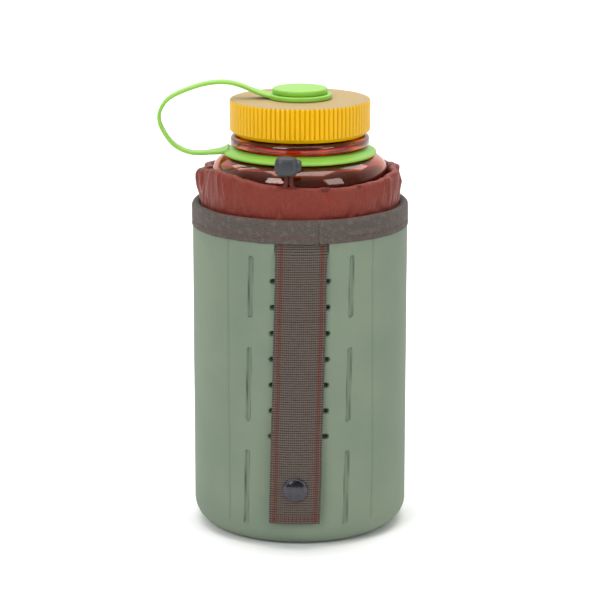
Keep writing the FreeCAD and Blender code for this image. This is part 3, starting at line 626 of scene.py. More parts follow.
def spring_steel():
    """Drawn spring wire: bright, with fine drawing lines."""
    material, tree, shader, place = blank("drawn_spring_wire")
    lines = grain(tree, place.outputs["Object"], 0.0003, 2.0)
    tree.links.new(mixed(tree, lines, opaque(linear("8f9092")), opaque(linear("c9cacc"))),
                   shader.inputs["Base Color"])
    tree.links.new(spread(tree, lines, 0.3, 0.7, 0.2, 0.35), shader.inputs["Roughness"])
    shader.inputs["Metallic"].default_value = 1.0
    return material


def moulded_acetal(tint):
    """Moulded acetal, spark-eroded tool: dark grey with a broad soft highlight and a fine grain."""
    material, tree, shader, place = blank("moulded_acetal")
    tooth = grain(tree, place.outputs["Object"], 0.0004, 2.0)
    cloud = grain(tree, place.outputs["Object"], 0.004, 2.0)
    light = tuple(part * 1.25 for part in tint.lock)
    tree.links.new(mixed(tree, cloud, opaque(tint.lock), opaque(light)), shader.inputs["Base Color"])
    tree.links.new(spread(tree, cloud, 0.3, 0.7, 0.38, 0.46), shader.inputs["Roughness"])
    raised(tree, shader, tooth, 0.00003, 0.5)
    return material


def amber_copolyester(tint):
    """Blow-moulded clear copolyester tinted amber: glassy skin, with the slight waves of blowing."""
    material, tree, shader, place = blank("amber_copolyester")
    waves = grain(tree, place.outputs["Object"], 0.03, 1.0)
    fine = grain(tree, place.outputs["Object"], 0.006, 1.0)
    deep = tuple(part * 0.8 for part in tint.amber)
    tree.links.new(mixed(tree, waves, opaque(deep), opaque(tint.amber)), shader.inputs["Base Color"])
    tree.links.new(spread(tree, fine, 0.3, 0.7, 0.015, 0.05), shader.inputs["Roughness"])
    raised(tree, shader, waves, 0.0006, 0.25)
    shader.inputs["IOR"].default_value = 1.57
    shader.inputs["Specular IOR Level"].default_value = 0.35
    shader.inputs["Transmission Weight"].default_value = 0.96
    return material


def soft_polypropylene(name, base, sheen_patch):
    """Injection-moulded elastomer: even colour with faint flow marks and a satin skin."""
    material, tree, shader, place = blank(name)
    flow = grain(tree, place.outputs["Object"], 0.012, 3.0)
    tooth = grain(tree, place.outputs["Object"], 0.0005, 2.0)
    light = tuple(min(part * sheen_patch, 1.0) for part in base)
    tree.links.new(mixed(tree, spread(tree, flow, 0.35, 0.65), opaque(base), opaque(light)),
                   shader.inputs["Base Color"])
    tree.links.new(spread(tree, flow, 0.3, 0.7, 0.36, 0.46), shader.inputs["Roughness"])
    raised(tree, shader, tooth, 0.00002, 0.5)
    shader.inputs["Subsurface Weight"].default_value = 0.12
    shader.inputs["Subsurface Radius"].default_value = (0.002, 0.002, 0.001)
    shader.inputs["Subsurface Scale"].default_value = 1.0
    return material


def cap_polypropylene(tint, top):
    """Injection-moulded polypropylene: glossy ribbed sides, and an etched top that scatters the light, with a painted
    whitish reflection in the top's colour.
    """
    material, tree, shader, place = blank("cap_polypropylene")
    split = add(tree, "SeparateXYZ", {0: place.outputs["Object"]})
    # upper is the top band: its colour is a painted whitish reflection, and its higher roughness is real.
    upper = spread(tree, split.outputs[2], top - 0.0006, top - 0.0001)
    flow = grain(tree, place.outputs["Object"], 0.010, 3.0)
    tooth = grain(tree, place.outputs["Object"], 0.0006, 2.0)
    deep = tuple(part * 0.93 for part in tint.yellow)
    side = mixed(tree, flow, opaque(deep), opaque(tint.yellow))
    tree.links.new(mixed(tree, upper, side, opaque(tint.yellow_top_painted_reflection)), shader.inputs["Base Color"])
    tree.links.new(spread(tree, upper, 0.0, 1.0, 0.3, 0.62), shader.inputs["Roughness"])
    shader.inputs["Specular IOR Level"].default_value = 0.3
    raised(tree, shader, tooth, 0.00004, 0.5)
    shader.inputs["Subsurface Weight"].default_value = 0.1
    shader.inputs["Subsurface Radius"].default_value = (0.002, 0.0015, 0.0005)
    shader.inputs["Subsurface Scale"].default_value = 1.0
    return material


def studio_floor(tint):
    """Painted studio floor: even, matt and pale, with a faint roller grain."""
    material, tree, shader, place = blank("painted_floor")
    roller = grain(tree, place.outputs["Object"], 0.02, 2.0)
    light = tuple(min(part * 1.02, 1.0) for part in tint.floor)
    tree.links.new(mixed(tree, roller, opaque(tint.floor), opaque(light)), shader.inputs["Base Color"])
    shader.inputs["Roughness"].default_value = 0.9
    return material


# ---------------------------------------------------------------- sleeve


def strap_turn(height, sizes):
    """Front angle of the strap's middle at a height."""
    fold = top_of("strap_lower")
    return sizes.middle_angle + sizes.lean * (height - fold)


def strap_back(height, sizes):
    """Distance of the strap's back from the axis at a height."""
    wall = radius_of("foam_shell") + 0.15 * MM
    root = wall - 2.15 * MM
    fold = top_of("strap_lower")
    rooted = smooth((height - foot_of("strap_tab")) / (5.5 * MM))
    lifted = smooth((fold - height) / (fold - sizes.lift_off))
    pressed_home = smooth((sizes.lift_off - 10 * MM - height) / (16 * MM))
    return wall + (root - wall) * rooted + sizes.stand_off * lifted - 0.25 * MM * pressed_home


def pressed(across, along, half_width, half_length, edge):
    """1 inside a round-ended slot, falling to 0 over its edge."""
    reach = math.hypot(across, max(0.0, abs(along) - half_length + half_width))
    return smooth((half_width - reach) / edge)


class BOTTLE_OT_foam_shell(bpy.types.Operator):
    """Moulded foam shell with its grooves, slots and creases"""

    bl_idname = "bottle.foam_shell"
    bl_label = "Foam shell"

    groove_columns = (math.radians(-28.0), math.radians(26.6))
    groove_spans = ((0.0105, 0.0394), (0.0645, 0.0386), (0.1179, 0.0316))
    crease_columns = (math.radians(-40.5), math.radians(41.5))

    def outline(self, sizes):
        """Section of the cup, from the middle of its underside round to the middle of its floor."""
        radius = radius_of("foam_shell")
        rim_top, rim_foot = top_of("foam_shell"), top_of("lining_tube")
        floor = foot_of("base_pad")
        pocket = radius_of("base_pad") + 0.1 * MM
        rim_outer = radius - sizes.rim_recess
        rim_inner = rim_outer - sizes.rim_thickness
        lip = sizes.rim_thickness / 2
        coarse, fine = 8 * MM, sizes.mesh_step
        side = radius - sizes.corner
        points = [(0.0, 0.0)] + straight((0.0, 0.0), (side, 0.0), coarse)
        points += rounded((side, sizes.corner), sizes.corner, -90, 0, 2 * fine)
        points += straight((radius, sizes.corner), (radius, rim_foot), fine)
        points += [(rim_outer, rim_foot), (rim_outer, rim_top - lip)]
        points += rounded((rim_outer - lip, rim_top - lip), lip, 0, 180, 1 * MM)
        points += [(rim_inner, rim_foot), (pocket, rim_foot - sizes.flare)]
        points += straight((pocket, rim_foot - sizes.flare), (pocket, floor), 2 * coarse)
        return points + straight((pocket, floor), (0.0, floor), 2 * coarse)

    def depth(self, angle, height, radius, sizes, strap):
        """How far the wall is pressed in at a front angle and a height, and how much painted shade it gets: most at
        the pressed edges of the grooves, over the slots and along the creases.
        """
        lean = strap.lean * (height - top_of("strap_lower"))
        # edge gathers the painted shade: the groove edges (stronger on their left side), the whole of each slot, and
        # the creases.
        deepest = edge = 0.0
        for column in self.groove_columns:
            across = radius * (angle - column - lean)
            if abs(across) > sizes.groove_width:
                continue
            for foot, span in self.groove_spans:
                share = pressed(across, height - foot - span / 2, sizes.groove_width / 2, span / 2, 0.8 * MM)
                deepest = max(deepest, sizes.groove_depth * share)
                edge = max(edge, (4 * share * (1 - share)) ** 2 * (1.0 if across < 0 else 0.8))
        half = strap.width / 2 + sizes.slot_overhang
        from_strap = radius * (angle - 0.5 * strap_turn(height, strap))
        if abs(from_strap) < half + MM:
            for index in range(sizes.slot_count):
                across = height - sizes.slot_lowest - index * sizes.slot_pitch
                if abs(across) < sizes.slot_height:
                    share = pressed(across, from_strap, sizes.slot_height / 2, half, 0.6 * MM)
                    deepest = max(deepest, sizes.slot_depth * share)
                    edge = max(edge, share)
        for column in self.crease_columns:
            wander = 0.8 * MM * noise.noise(Vector((column * 9, height * 22, 1.7)))
            away = abs(radius * (angle - column) - wander)
            deepest = max(deepest, sizes.crease_depth * max(0.0, 1 - away / (1.1 * MM)))
            edge = max(edge, 0.3 * max(0.0, 1 - away / (0.7 * MM)))
        return deepest, edge

    def execute(self, context):
        settings = context.scene.sleeved_bottle
        sizes = settings.shell
        radius, rim_foot = radius_of("foam_shell"), top_of("lining_tube")
        front = math.radians(53)
        fine = math.ceil(2 * front * radius / sizes.mesh_step)
        bm = spun(self.outline(sizes), [(2 * front, fine), (TURN - 2 * front, 84)], start=-front)
        # Weight of the painted shade for each vertex, read by the foam material.
        painted_shade_marks = bm.verts.layers.float.new("painted_groove_shade")
        strap = settings.strap
        tab_foot, tab_top = foot_of("strap_tab") - 0.5 * MM, top_of("strap_tab") + 0.5 * MM
        for vert in bm.verts:
            reach, height = math.hypot(vert.co.x, vert.co.y), vert.co.z
            angle = front_angle(vert.co)
            away = abs(angle - strap_turn(height, strap)) * radius
            if tab_foot < height < tab_top and reach > radius - 2 * MM and away < strap.width / 2 + 0.7 * MM:
                seat = strap_back(height, strap) - 0.35 * MM
                vert.co = placed(min(reach, seat), angle, height)
                continue
            if reach < radius - 0.05 * MM or height > rim_foot - 0.1 * MM:
                continue
            wave = 0.12 * MM * noise.noise(vert.co * 28)
            deep, vert[painted_shade_marks] = self.depth(angle, height, radius, sizes, strap)
            vert.co = placed(reach + wave - deep, angle, height)
        shell = made("insulated_foam_shell", bm, moulded_foam(settings.colours), 50)
        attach(shell, "sleeve")
        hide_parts("foam_shell")
        return {"FINISHED"}


class BOTTLE_OT_base_pad(bpy.types.Operator):
    """Loose disc of closed-cell foam in the bottom of the sleeve"""

    bl_idname = "bottle.base_pad"
    bl_label = "Base pad"

    def execute(self, context):
        settings = context.scene.sleeved_bottle
        low, high = boxes["base_pad"]
        edge = 0.8 * MM
        points = [(0.0, low.z), (high.x - edge, low.z)]
        points += rounded((high.x - edge, low.z + edge), edge, -90, 0, 0.3 * MM)
        points += rounded((high.x - edge, high.z - edge), edge, 0, 90, 0.3 * MM)
        points += straight((high.x - edge, high.z), (0.0, high.z), 6 * MM)
        bm = spun(points, [(TURN, 96)])
        for vert in bm.verts:
            vert.co.z -= 0.2 * MM * (vert.co.z > low.z + 2 * edge) * swell(vert.co.xy.length, 0.0, 30 * MM)
        pad = made("closed_cell_base_pad", bm, cell_foam(settings.colours))
        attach(pad, "sleeve")
        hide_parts("base_pad")
        return {"FINISHED"}


class BOTTLE_OT_lining(bpy.types.Operator):
    """Smooth lining of the pocket, sewn to a round base panel"""

    bl_idname = "bottle.lining"
    bl_label = "Lining"

    def execute(self, context):
        settings = context.scene.sleeved_bottle
        cloth = settings.cloth.lining
        floor = foot_of("lining_base") + cloth / 2
        mouth, top = radius_of("lining_tube") - cloth / 2, top_of("lining_tube")
        pocket = radius_of("lining_base") + 0.1 * MM + cloth / 2
        flare = top - settings.shell.flare
        seam = 1.5 * MM
        points = [(0.0, floor)] + straight((0.0, floor), (pocket - seam, floor), 6 * MM)
        points += rounded((pocket - seam, floor + seam), seam, -90, 0, 0.6 * MM)
        points += straight((pocket, floor + seam), (pocket, flare), 4 * MM)
        points += straight((pocket, flare), (mouth, top), 2 * MM)
        bm = spun(points, [(TURN, 144)])
        for vert in bm.verts:
            reach = vert.co.xy.length
            if reach > pocket - seam and vert.co.z > floor + seam:
                crinkle = 0.1 * MM * noise.noise(Vector((front_angle(vert.co) * 9, vert.co.z * 30, 0.0)))
                vert.co = placed(reach + crinkle, front_angle(vert.co), vert.co.z)
        unrolled(bm, pocket)
        area = sum(face.calc_area() for face in bm.faces)
        lining = thickened(made("sleeve_lining", bm, coated_lining(settings.colours)), cloth)
        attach(lining, "sleeve")
        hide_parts("lining_tube", "lining_base")
        return {"FINISHED"}


class BOTTLE_OT_rim_binding(bpy.types.Operator):
    """Tape folded over the rim, its lapped end, and its row of stitches"""

    bl_idname = "bottle.rim_binding"
    bl_label = "Rim binding"

    def lap(self, angle, sizes):
        """How far the tape stands out where its end laps over its start."""
        past = math.degrees(angle - sizes.overlap_angle)
        return 0.55 * MM * smooth(past / 0.5 + 0.5) * (1 - smooth((past - 6) / 12))

    def execute(self, context):
        settings = context.scene.sleeved_bottle
        sizes = settings.cloth
        low, high = boxes["rim_binding"]
        tape = sizes.tape
        outer = high.x - tape / 2
        inner = radius_of("collar") + 0.1 * MM + tape / 2
        bend = (outer - inner) / 2
        crown = high.z - tape / 2 - bend
        points = [(outer, low.z)] + straight((outer, low.z), (outer, crown), 0.6 * MM)
        points += rounded((outer - bend, crown), bend, 0, 180, 0.5 * MM)
        points += straight((inner, crown), (inner, low.z + MM), 1.5 * MM)
        seam = sizes.overlap_angle - math.radians(2)
        bm = spun(points, [(math.radians(4), 24), (TURN - math.radians(4), 380)], start=seam)
        for vert in bm.verts:
            angle, reach = front_angle(vert.co), vert.co.xy.length
            flank = smooth((reach - inner) / (outer - inner))
            round_place = Vector((math.cos(angle) * 7, math.sin(angle) * 7, vert.co.z * 60))
            wave = 0.16 * MM * noise.noise(round_place * 2.2)
            low_share = 1 - smooth((vert.co.z - low.z) / (4 * MM))
            hang = 0.25 * MM * noise.noise(round_place * 1.1 + Vector((5, 0, 0))) * low_share
            tuck = -0.18 * MM * swell(vert.co.z, low.z + 2.8 * MM, 0.8 * MM)
            change = (wave + tuck + self.lap(angle, sizes)) * flank
            rise = 0.25 * MM * noise.noise(round_place * 0.5) * (1 - low_share) * (vert.co.z > crown)
            vert.co = placed(reach + change, angle, vert.co.z + hang + rise)
        unrolled(bm, outer)
        binding = thickened(made("rim_binding_tape", bm, binding_tape(settings.colours)), tape)
        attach(binding, "sleeve")
        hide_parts("rim_binding")
        self.stitch(settings, high.x)
        return {"FINISHED"}

    def stitch(self, settings, radius):
        """Row of stitches near the tape's lower edge."""
        sizes = settings.cloth
        count = round(TURN * radius / sizes.stitch_pitch)
        low, high = boxes["binding_stitches"]
        row = joined(
            thread_run(placed(radius - 0.1 * MM, TURN * index / count, (low.z + high.z) / 2),
                       TURN * index / count, sizes.stitch_length, sizes.thread)
            for index in range(count))
        stitches = made("binding_stitch_row", row, sewing_thread(settings.colours), 80)
        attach(stitches, "sleeve")
        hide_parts("binding_stitches")


def thread_run(middle, angle, span, thickness, tilt=0.0):
    """One stitch: a short bead of thread lying on a surface that faces a front angle."""
    bm = bmesh.new()
    bmesh.ops.create_uvsphere(bm, u_segments=6, v_segments=5, radius=0.5)
    turned = Matrix.Rotation(angle, 4, "Z") @ Matrix.Rotation(tilt, 4, "Y")
    shape = Matrix.Diagonal((span, thickness * 0.9, thickness, 1.0)) @ Matrix.Rotation(math.pi / 2, 4, "Y")
    bmesh.ops.transform(bm, matrix=Matrix.Translation(middle) @ turned @ shape, verts=bm.verts)
    return bm


class BOTTLE_OT_collar(bpy.types.Operator):
    """Nylon collar gathered by the drawcord in its hem"""

    bl_idname = "bottle.collar"
    bl_label = "Collar"

    def rise(self, angle):
        """How much higher the hem stands at a front angle."""
        degrees = math.degrees(angle)
        left = 4.6 * MM * swell(degrees, -54, 26)
        dip = -0.9 * MM * swell(degrees, 26, 26)
        right = 2.2 * MM * swell(degrees, 84, 26)
        back = 1.2 * MM * swell(abs(degrees), 180, 60)
        return left + dip + right + back

    def gather(self, angle, share, sizes):
        """Folds of the cloth: fine at the binding, fewer and deeper towards the hem."""
        round_place = Vector((math.cos(angle), math.sin(angle), 0.0))
        side = 0.6 + 0.4 * abs(math.sin(angle)) ** 0.7
        broad = noise.noise(round_place * 4.2 + Vector((0, 0, share * 0.7)))
        middle = noise.noise(round_place * 9 + Vector((4, 0, share * 1.1)))
        fine = noise.noise(round_place * 21 + Vector((9, 2, share * 1.8)))
        pleat = 1 - 2 * abs(noise.noise(round_place * 7.5 + Vector((2, 7, share * 0.6))))
        hem = smooth((share - 0.25) / 0.6)
        foot = swell(share, 0.25, 0.22)
        fold = broad * 0.8 + middle * 0.7 * side + (pleat ** 3 - 0.3) * 0.5 * side
        return sizes.fold_depth * (fold * (0.35 + 0.65 * hem) + fine * (0.5 * foot + 0.25 * hem) * side)

    def execute(self, context):
        settings = context.scene.sleeved_bottle
        sizes = settings.cloth
        low, high = boxes["collar"]
        cloth = sizes.nylon
        wall = high.x - cloth / 2 - 0.05 * MM
        bend = top_of("rim_binding") + 1.8 * MM
        hem = boxes["drawcord"][1].x - 1.1 * MM
        half = sizes.hem_width / 2
        hem_outer, hem_inner = hem + half, hem - half
        crown = high.z - half - cloth / 2
        points = [(wall, low.z)] + straight((wall, low.z), (wall, bend), 0.7 * MM)
        points += straight((wall, bend), (hem_outer, crown), 0.7 * MM)
        points += rounded((hem, crown), half, 0, 180, 0.5 * MM)
        points += straight((hem_inner, crown), (hem_inner, crown - 2.4 * MM), 0.7 * MM)
        points += straight((hem_inner, crown - 2.4 * MM), (hem_outer - 0.9 * MM, crown - 3.4 * MM), 0.7 * MM)
        bm = spun(points, [(TURN, 520)])
        unrolled(bm, hem_outer)
        binding_top = top_of("rim_binding")
        for vert in bm.verts:
            angle, reach, height = front_angle(vert.co), vert.co.xy.length, vert.co.z
            free = smooth((height - binding_top + 1.5 * MM) / (3 * MM))
            share = (height - binding_top) / (high.z - binding_top)
            bulge = 0.9 * MM * swell(share, 0.45, 0.35) * abs(math.sin(angle)) ** 1.5
            change = (self.gather(angle, share, sizes) + bulge) * free
            lift = self.rise(angle) * smooth(share)
            ripple = 0.25 * MM * noise.noise(Vector((math.cos(angle) * 12, math.sin(angle) * 12, 3))) * smooth(share)
            vert.co = placed(reach + change, angle, height + lift + ripple)
        collar = thickened(made("drawcord_collar", bm, collar_nylon(settings.colours), 80), cloth)
        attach(collar, "sleeve")
        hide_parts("collar")
        return {"FINISHED"}


class BOTTLE_OT_drawcord(bpy.types.Operator):
    """Elastic cord in the hem, and the cord lock on it"""

    bl_idname = "bottle.drawcord"
    bl_label = "Drawcord and lock"

    def execute(self, context):
        tint = context.scene.sleeved_bottle.colours
        repaint("drawcord", braided_cord(tint))
        plastic = moulded_acetal(tint)
        repaint("lock_plunger", plastic)
        low, high = boxes["lock_body"]
        bm = bmesh.new()
        bmesh.ops.create_uvsphere(bm, u_segments=56, v_segments=36, radius=1.0)
        half, middle = (high - low) / 2, (high + low) / 2
        for vert in bm.verts:
            barrel = [math.copysign(abs(part) ** power, part) for part, power in zip(vert.co, (0.55, 0.72, 0.72))]
            vert.co = middle + Vector(part * size for part, size in zip(barrel, half))
        body = made("cord_lock_barrel", bm, plastic, 80)
        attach(body, "cord_lock")
        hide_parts("lock_body")
        self.spring()
        return {"FINISHED"}

    def spring(self):
        """Coil between the barrel and the button, which shortens as the button is pressed."""
        low, high = boxes["lock_spring"]
        wire = 0.25 * MM
        reach = (high.z - low.z) / 2 - wire
        turns, steps = 5, 20
        bm = bmesh.new()
        ring = [bm.verts.new((0, -reach + wire * math.cos(TURN * k / 6), wire * math.sin(TURN * k / 6)))
                for k in range(6)]
        edges = [bm.edges.new(pair) for pair in zip(ring, ring[1:] + ring[:1])]
        bm.faces.new(ring)
        rise = (high.x - low.x - 2 * wire) / (turns * steps)
        end = bmesh.ops.spin(bm, geom=ring + edges, cent=(0, 0, 0), axis=(0, 0, 1), angle=TURN * turns,
                             steps=turns * steps, dvec=(0, 0, rise))["geom_last"]
        bmesh.ops.contextual_create(bm, geom=[item for item in end if isinstance(item, bmesh.types.BMEdge)])
        bmesh.ops.recalc_face_normals(bm, faces=bm.faces)
        base = Vector((low.x + wire, (low.y + high.y) / 2, (low.z + high.z) / 2))
        lying = Matrix.Translation(base) @ Matrix.Rotation(math.pi / 2, 4, "Y")
        bmesh.ops.transform(bm, matrix=lying, verts=bm.verts)
        coil = made("lock_coil_spring", bm, spring_steel(), 80)
        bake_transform(coil, "cord_lock", "lock_button", start=(low.x, base.y, base.z), end=(high.x, base.y, base.z))
        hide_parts("lock_spring")


# ---------------------------------------------------------------- strap


class BOTTLE_OT_strap(bpy.types.Operator):
    """Webbing strap in two drawn lengths, with the stitching at its end"""

    bl_idname = "bottle.strap"
    bl_label = "Strap"

    def length_of(self, name, foot, top, settings):
        """Sheet of webbing between two heights, with its ribs, curved round the shell and leaning a little."""
        sizes = settings.strap
        columns = 50
        rows = round((top - foot) / (sizes.rib_pitch / 4))
        bm = bmesh.new()
        bmesh.ops.create_grid(bm, x_segments=columns, y_segments=rows, size=0.5)
        weave = bm.loops.layers.uv.new("weave")
        half = sizes.width / 2
        for face in bm.faces:
            for loop in face.loops:
                across = loop.vert.co.x * sizes.width
                height = foot + (loop.vert.co.y + 0.5) * (top - foot)
                loop[weave].uv = (across / MM, height / MM)
        for vert in bm.verts:
            across = vert.co.x * sizes.width
            height = foot + (vert.co.y + 0.5) * (top - foot)
            rib = abs(math.sin(math.pi * height / sizes.rib_pitch))
            column = 0.75 + 0.25 * abs(math.sin(TURN * across / sizes.column_pitch))
            edge = smooth((half - abs(across)) / (1.0 * MM))
            relief = sizes.rib_height * rib * column * (0.4 + 0.6 * edge)
            radius = strap_back(height, sizes) + sizes.thickness / 2 + relief - 0.15 * MM
            sway = 0.25 * MM * noise.noise(Vector((height * 40, 0.0, 3.1 + math.copysign(1.0, across))))
            slack = 0.35 * MM * noise.noise(Vector((height * 25, across * 20, 8.0)))
            angle = strap_turn(height, sizes) + (across + sway * abs(across) / half) / radius
            vert.co = placed(radius + slack * smooth((foot_of("strap_tab") - height) / (20 * MM)), angle, height)
        bmesh.ops.recalc_face_normals(bm, faces=bm.faces)
        if bm.faces[0].normal.y > 0:
            bmesh.ops.reverse_faces(bm, faces=bm.faces)
        return thickened(made(name, bm, self.webbing, 80), sizes.thickness - sizes.rib_height)

    def execute(self, context):
        settings = context.scene.sleeved_bottle
        sizes = settings.strap
        self.webbing = webbing_weave(settings.colours, sizes)
        hinge = (foot_of("strap_tab") + top_of("strap_upper")) / 2
        fold = (foot_of("strap_upper") + top_of("strap_lower")) / 2
        top, foot = top_of("strap_tab"), foot_of("strap_lower")
        reach = 5 * MM
        upper = self.length_of("strap_webbing_upper", sizes.join, top, settings)
        lower = self.length_of("strap_webbing_lower", foot, sizes.join, settings)
        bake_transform(upper, "sleeve", "strap_top", start=(0, 0, hinge), end=(0, 0, hinge - 2 * reach))
        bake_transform(lower, "strap_top", "strap_end", start=(0, 0, fold), end=(0, 0, fold - 2 * reach))
        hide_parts("strap_tab", "strap_upper")
        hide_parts("strap_lower")
        self.bar(settings, foot)
        return {"FINISHED"}

    def bar(self, settings, foot):
        """Three rows of slanted stitches across the turned end."""
        sizes = settings.strap
        runs = []
        for row in range(3):
            height = foot + (1.6 + 1.2 * row) * MM
            radius = strap_back(height, sizes) + sizes.thickness
            count = 13
            for index in range(count):
                across = (index - (count - 1) / 2) * (sizes.width - 2.4 * MM) / (count - 1)
                angle = strap_turn(height, sizes) + across / radius
                tilt = math.radians(32 if row == 1 else -24)
                point = placed(radius + 0.05 * MM, angle, height)
                runs.append(thread_run(point, angle, 1.55 * MM, settings.cloth.thread, tilt))
        stitches = made("strap_end_stitches", joined(runs), sewing_thread(settings.colours), 80)
        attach(stitches, "strap_end")


class BOTTLE_OT_snap(bpy.types.Operator):
    """Domed cap of the press snap, and the snap's other parts"""

    bl_idname = "bottle.snap"
    bl_label = "Press snap"

    def execute(self, context):
        settings = context.scene.sleeved_bottle
        sizes = settings.strap
        steel = plated_steel(settings.colours)
        angle = strap_turn(sizes.snap_height, sizes)
        crown = -boxes["snap_cap"][0].y / math.cos(angle)
        radius, dome = sizes.snap_radius, sizes.snap_dome
        foot = crown - dome
        lip = 0.45 * MM
        points = [(0.0, foot - 1.6 * MM), (1.6 * MM, foot - 1.6 * MM), (1.7 * MM, foot - 0.3 * MM)]
        points += [(radius - lip, foot - 0.3 * MM)]
        points += rounded((radius - lip, foot + lip - 0.3 * MM), lip, -90, 70, 0.1 * MM)
        points += [(radius - 0.55 * MM, foot + 0.62 * MM), (radius - 0.85 * MM, foot + 0.45 * MM)]
        shoulder = (radius - 1.05 * MM, foot + 0.5 * MM)
        points.append(shoulder)
        for step in range(1, 13):
            share = 1 - step / 12
            points.append((shoulder[0] * share, crown - (crown - shoulder[1]) * share ** 2.2))
        bm = spun(points, [(TURN, 72)])
        upright = Matrix.Rotation(angle, 4, "Z") @ Matrix.Rotation(math.pi / 2, 4, "X")
        bmesh.ops.transform(bm, matrix=Matrix.Translation((0, 0, sizes.snap_height)) @ upright, verts=bm.verts)
        cap = made("snap_dome", bm, steel, 60)
        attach(cap, "strap_end")
        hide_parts("snap_cap")
        for node in ("snap_socket", "snap_stud", "snap_post"):
            repaint(node, steel)
        return {"FINISHED"}


# ---------------------------------------------------------------- bottle, cap and tether


class BOTTLE_OT_bottle(bpy.types.Operator):
    """Clear amber bottle with its bead and threaded neck"""

    bl_idname = "bottle.bottle"
    bl_label = "Bottle"

    def skin(self, sizes, inset):
        """Outline of the body from the base to the neck's foot, moved inwards."""
        radius, foot = radius_of("bottle"), foot_of("bottle")
        side, corner = radius - inset, sizes.corner - inset
        centre = radius - sizes.shoulder
        body_top = foot + sizes.body_height
        bend = sizes.shoulder - inset
        points = straight((0.0, foot + sizes.dish + inset),
                          (sizes.dish_radius - sizes.dish, foot + sizes.dish + inset), 8 * MM)
        points += [(sizes.dish_radius, foot + inset), (radius - sizes.corner, foot + inset)]
        points += rounded((radius - sizes.corner, foot + sizes.corner), corner, -90, 0, 1.2 * MM)
        points += straight((side, foot + sizes.corner), (side, body_top), 8 * MM)
        points += rounded((centre, body_top), bend, 0, 90 - math.degrees(sizes.slope), 0.7 * MM)
        return [(0.0, foot + sizes.dish + inset)] + points

    def thread(self, sizes, mouth):
        """Helical ridge round the neck."""
        turns, steps = 1.3, 84
        foot = mouth - 2.5 * MM - sizes.thread_lead * turns
        deep, crest = sizes.neck - 0.3 * MM, sizes.neck + sizes.thread_depth
        bm = bmesh.new()
        section = ((deep, -0.95), (crest - 0.3 * MM, -0.5), (crest, -0.25), (crest, 0.25),
                   (crest - 0.3 * MM, 0.5), (deep, 0.95))
        ring = [bm.verts.new(placed(radius, 0.0, foot + height * MM)) for radius, height in section]
        edges = [bm.edges.new(pair) for pair in zip(ring, ring[1:] + ring[:1])]
        count = round(turns * steps)
        rise = sizes.thread_lead * turns / count
        first = list(edges)
        end = bmesh.ops.spin(bm, geom=ring + edges, cent=(0, 0, 0), axis=(0, 0, 1), angle=TURN * turns,
                             steps=count, dvec=(0, 0, rise))["geom_last"]
        bmesh.ops.contextual_create(bm, geom=first)
        bmesh.ops.contextual_create(bm, geom=[item for item in end if isinstance(item, bmesh.types.BMEdge)])
        bmesh.ops.recalc_face_normals(bm, faces=bm.faces)
        return bm

    def execute(self, context):
        settings = context.scene.sleeved_bottle
        sizes = settings.bottle
        mouth = top_of("bottle")
        outside = self.skin(sizes, 0.0)
        inside = self.skin(sizes, sizes.wall)
        slope = math.tan(sizes.slope)
        last = outside[-1]
        neck_foot = last[1] + (last[0] - sizes.neck_root) * slope
        bead_top = mouth - sizes.finish
        bead_foot = bead_top - sizes.bead_height
        fillet, edge, lip = 1.0 * MM, 0.9 * MM, 0.8 * MM
        root = sizes.neck_root
        points = outside + straight(last, (root + fillet, neck_foot - fillet * slope), 2 * MM)
        points += [(root + fillet * 0.35, neck_foot + fillet * 0.1), (root, neck_foot + fillet * 0.6)]
        points += [(root, bead_foot - 0.2 * MM), (root + 0.2 * MM, bead_foot)]
        points += straight((root + 0.2 * MM, bead_foot), (sizes.bead - edge, bead_foot), 1.5 * MM)
        points += rounded((sizes.bead - edge, bead_foot + edge), edge, -90, 0, 0.3 * MM)
        big = 2.1 * MM
        points += rounded((sizes.bead - big, bead_top - big), big, 0, 90, 0.35 * MM)
        points += [(sizes.neck + 0.4 * MM, bead_top), (sizes.neck, bead_top + 0.4 * MM)]
        points += straight((sizes.neck, bead_top + 0.4 * MM), (sizes.neck, mouth - lip), 3 * MM)
        points += rounded((sizes.neck - lip, mouth - lip), lip, 0, 90, 0.3 * MM)
        points += rounded((sizes.bore + lip, mouth - lip), lip, 90, 180, 0.3 * MM)
        inner_end = inside[-1]
        bore_foot = inner_end[1] + (inner_end[0] - sizes.bore) * slope
        points += straight((sizes.bore, mouth - lip), (sizes.bore, bore_foot + MM), 3 * MM)
        points += [(sizes.bore + 0.3 * MM, bore_foot + 0.2 * MM)]
        points += straight((sizes.bore + 0.3 * MM, bore_foot + 0.2 * MM), inner_end, 2 * MM)
        points += inside[-2::-1]
        body = spun(points, [(TURN, 168)])
        bottle = made("amber_bottle_body", joined([body, self.thread(sizes, mouth)]),
                      amber_copolyester(settings.colours), 50)
        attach(bottle, "bottle_body")
        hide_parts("bottle")
        return {"FINISHED"}


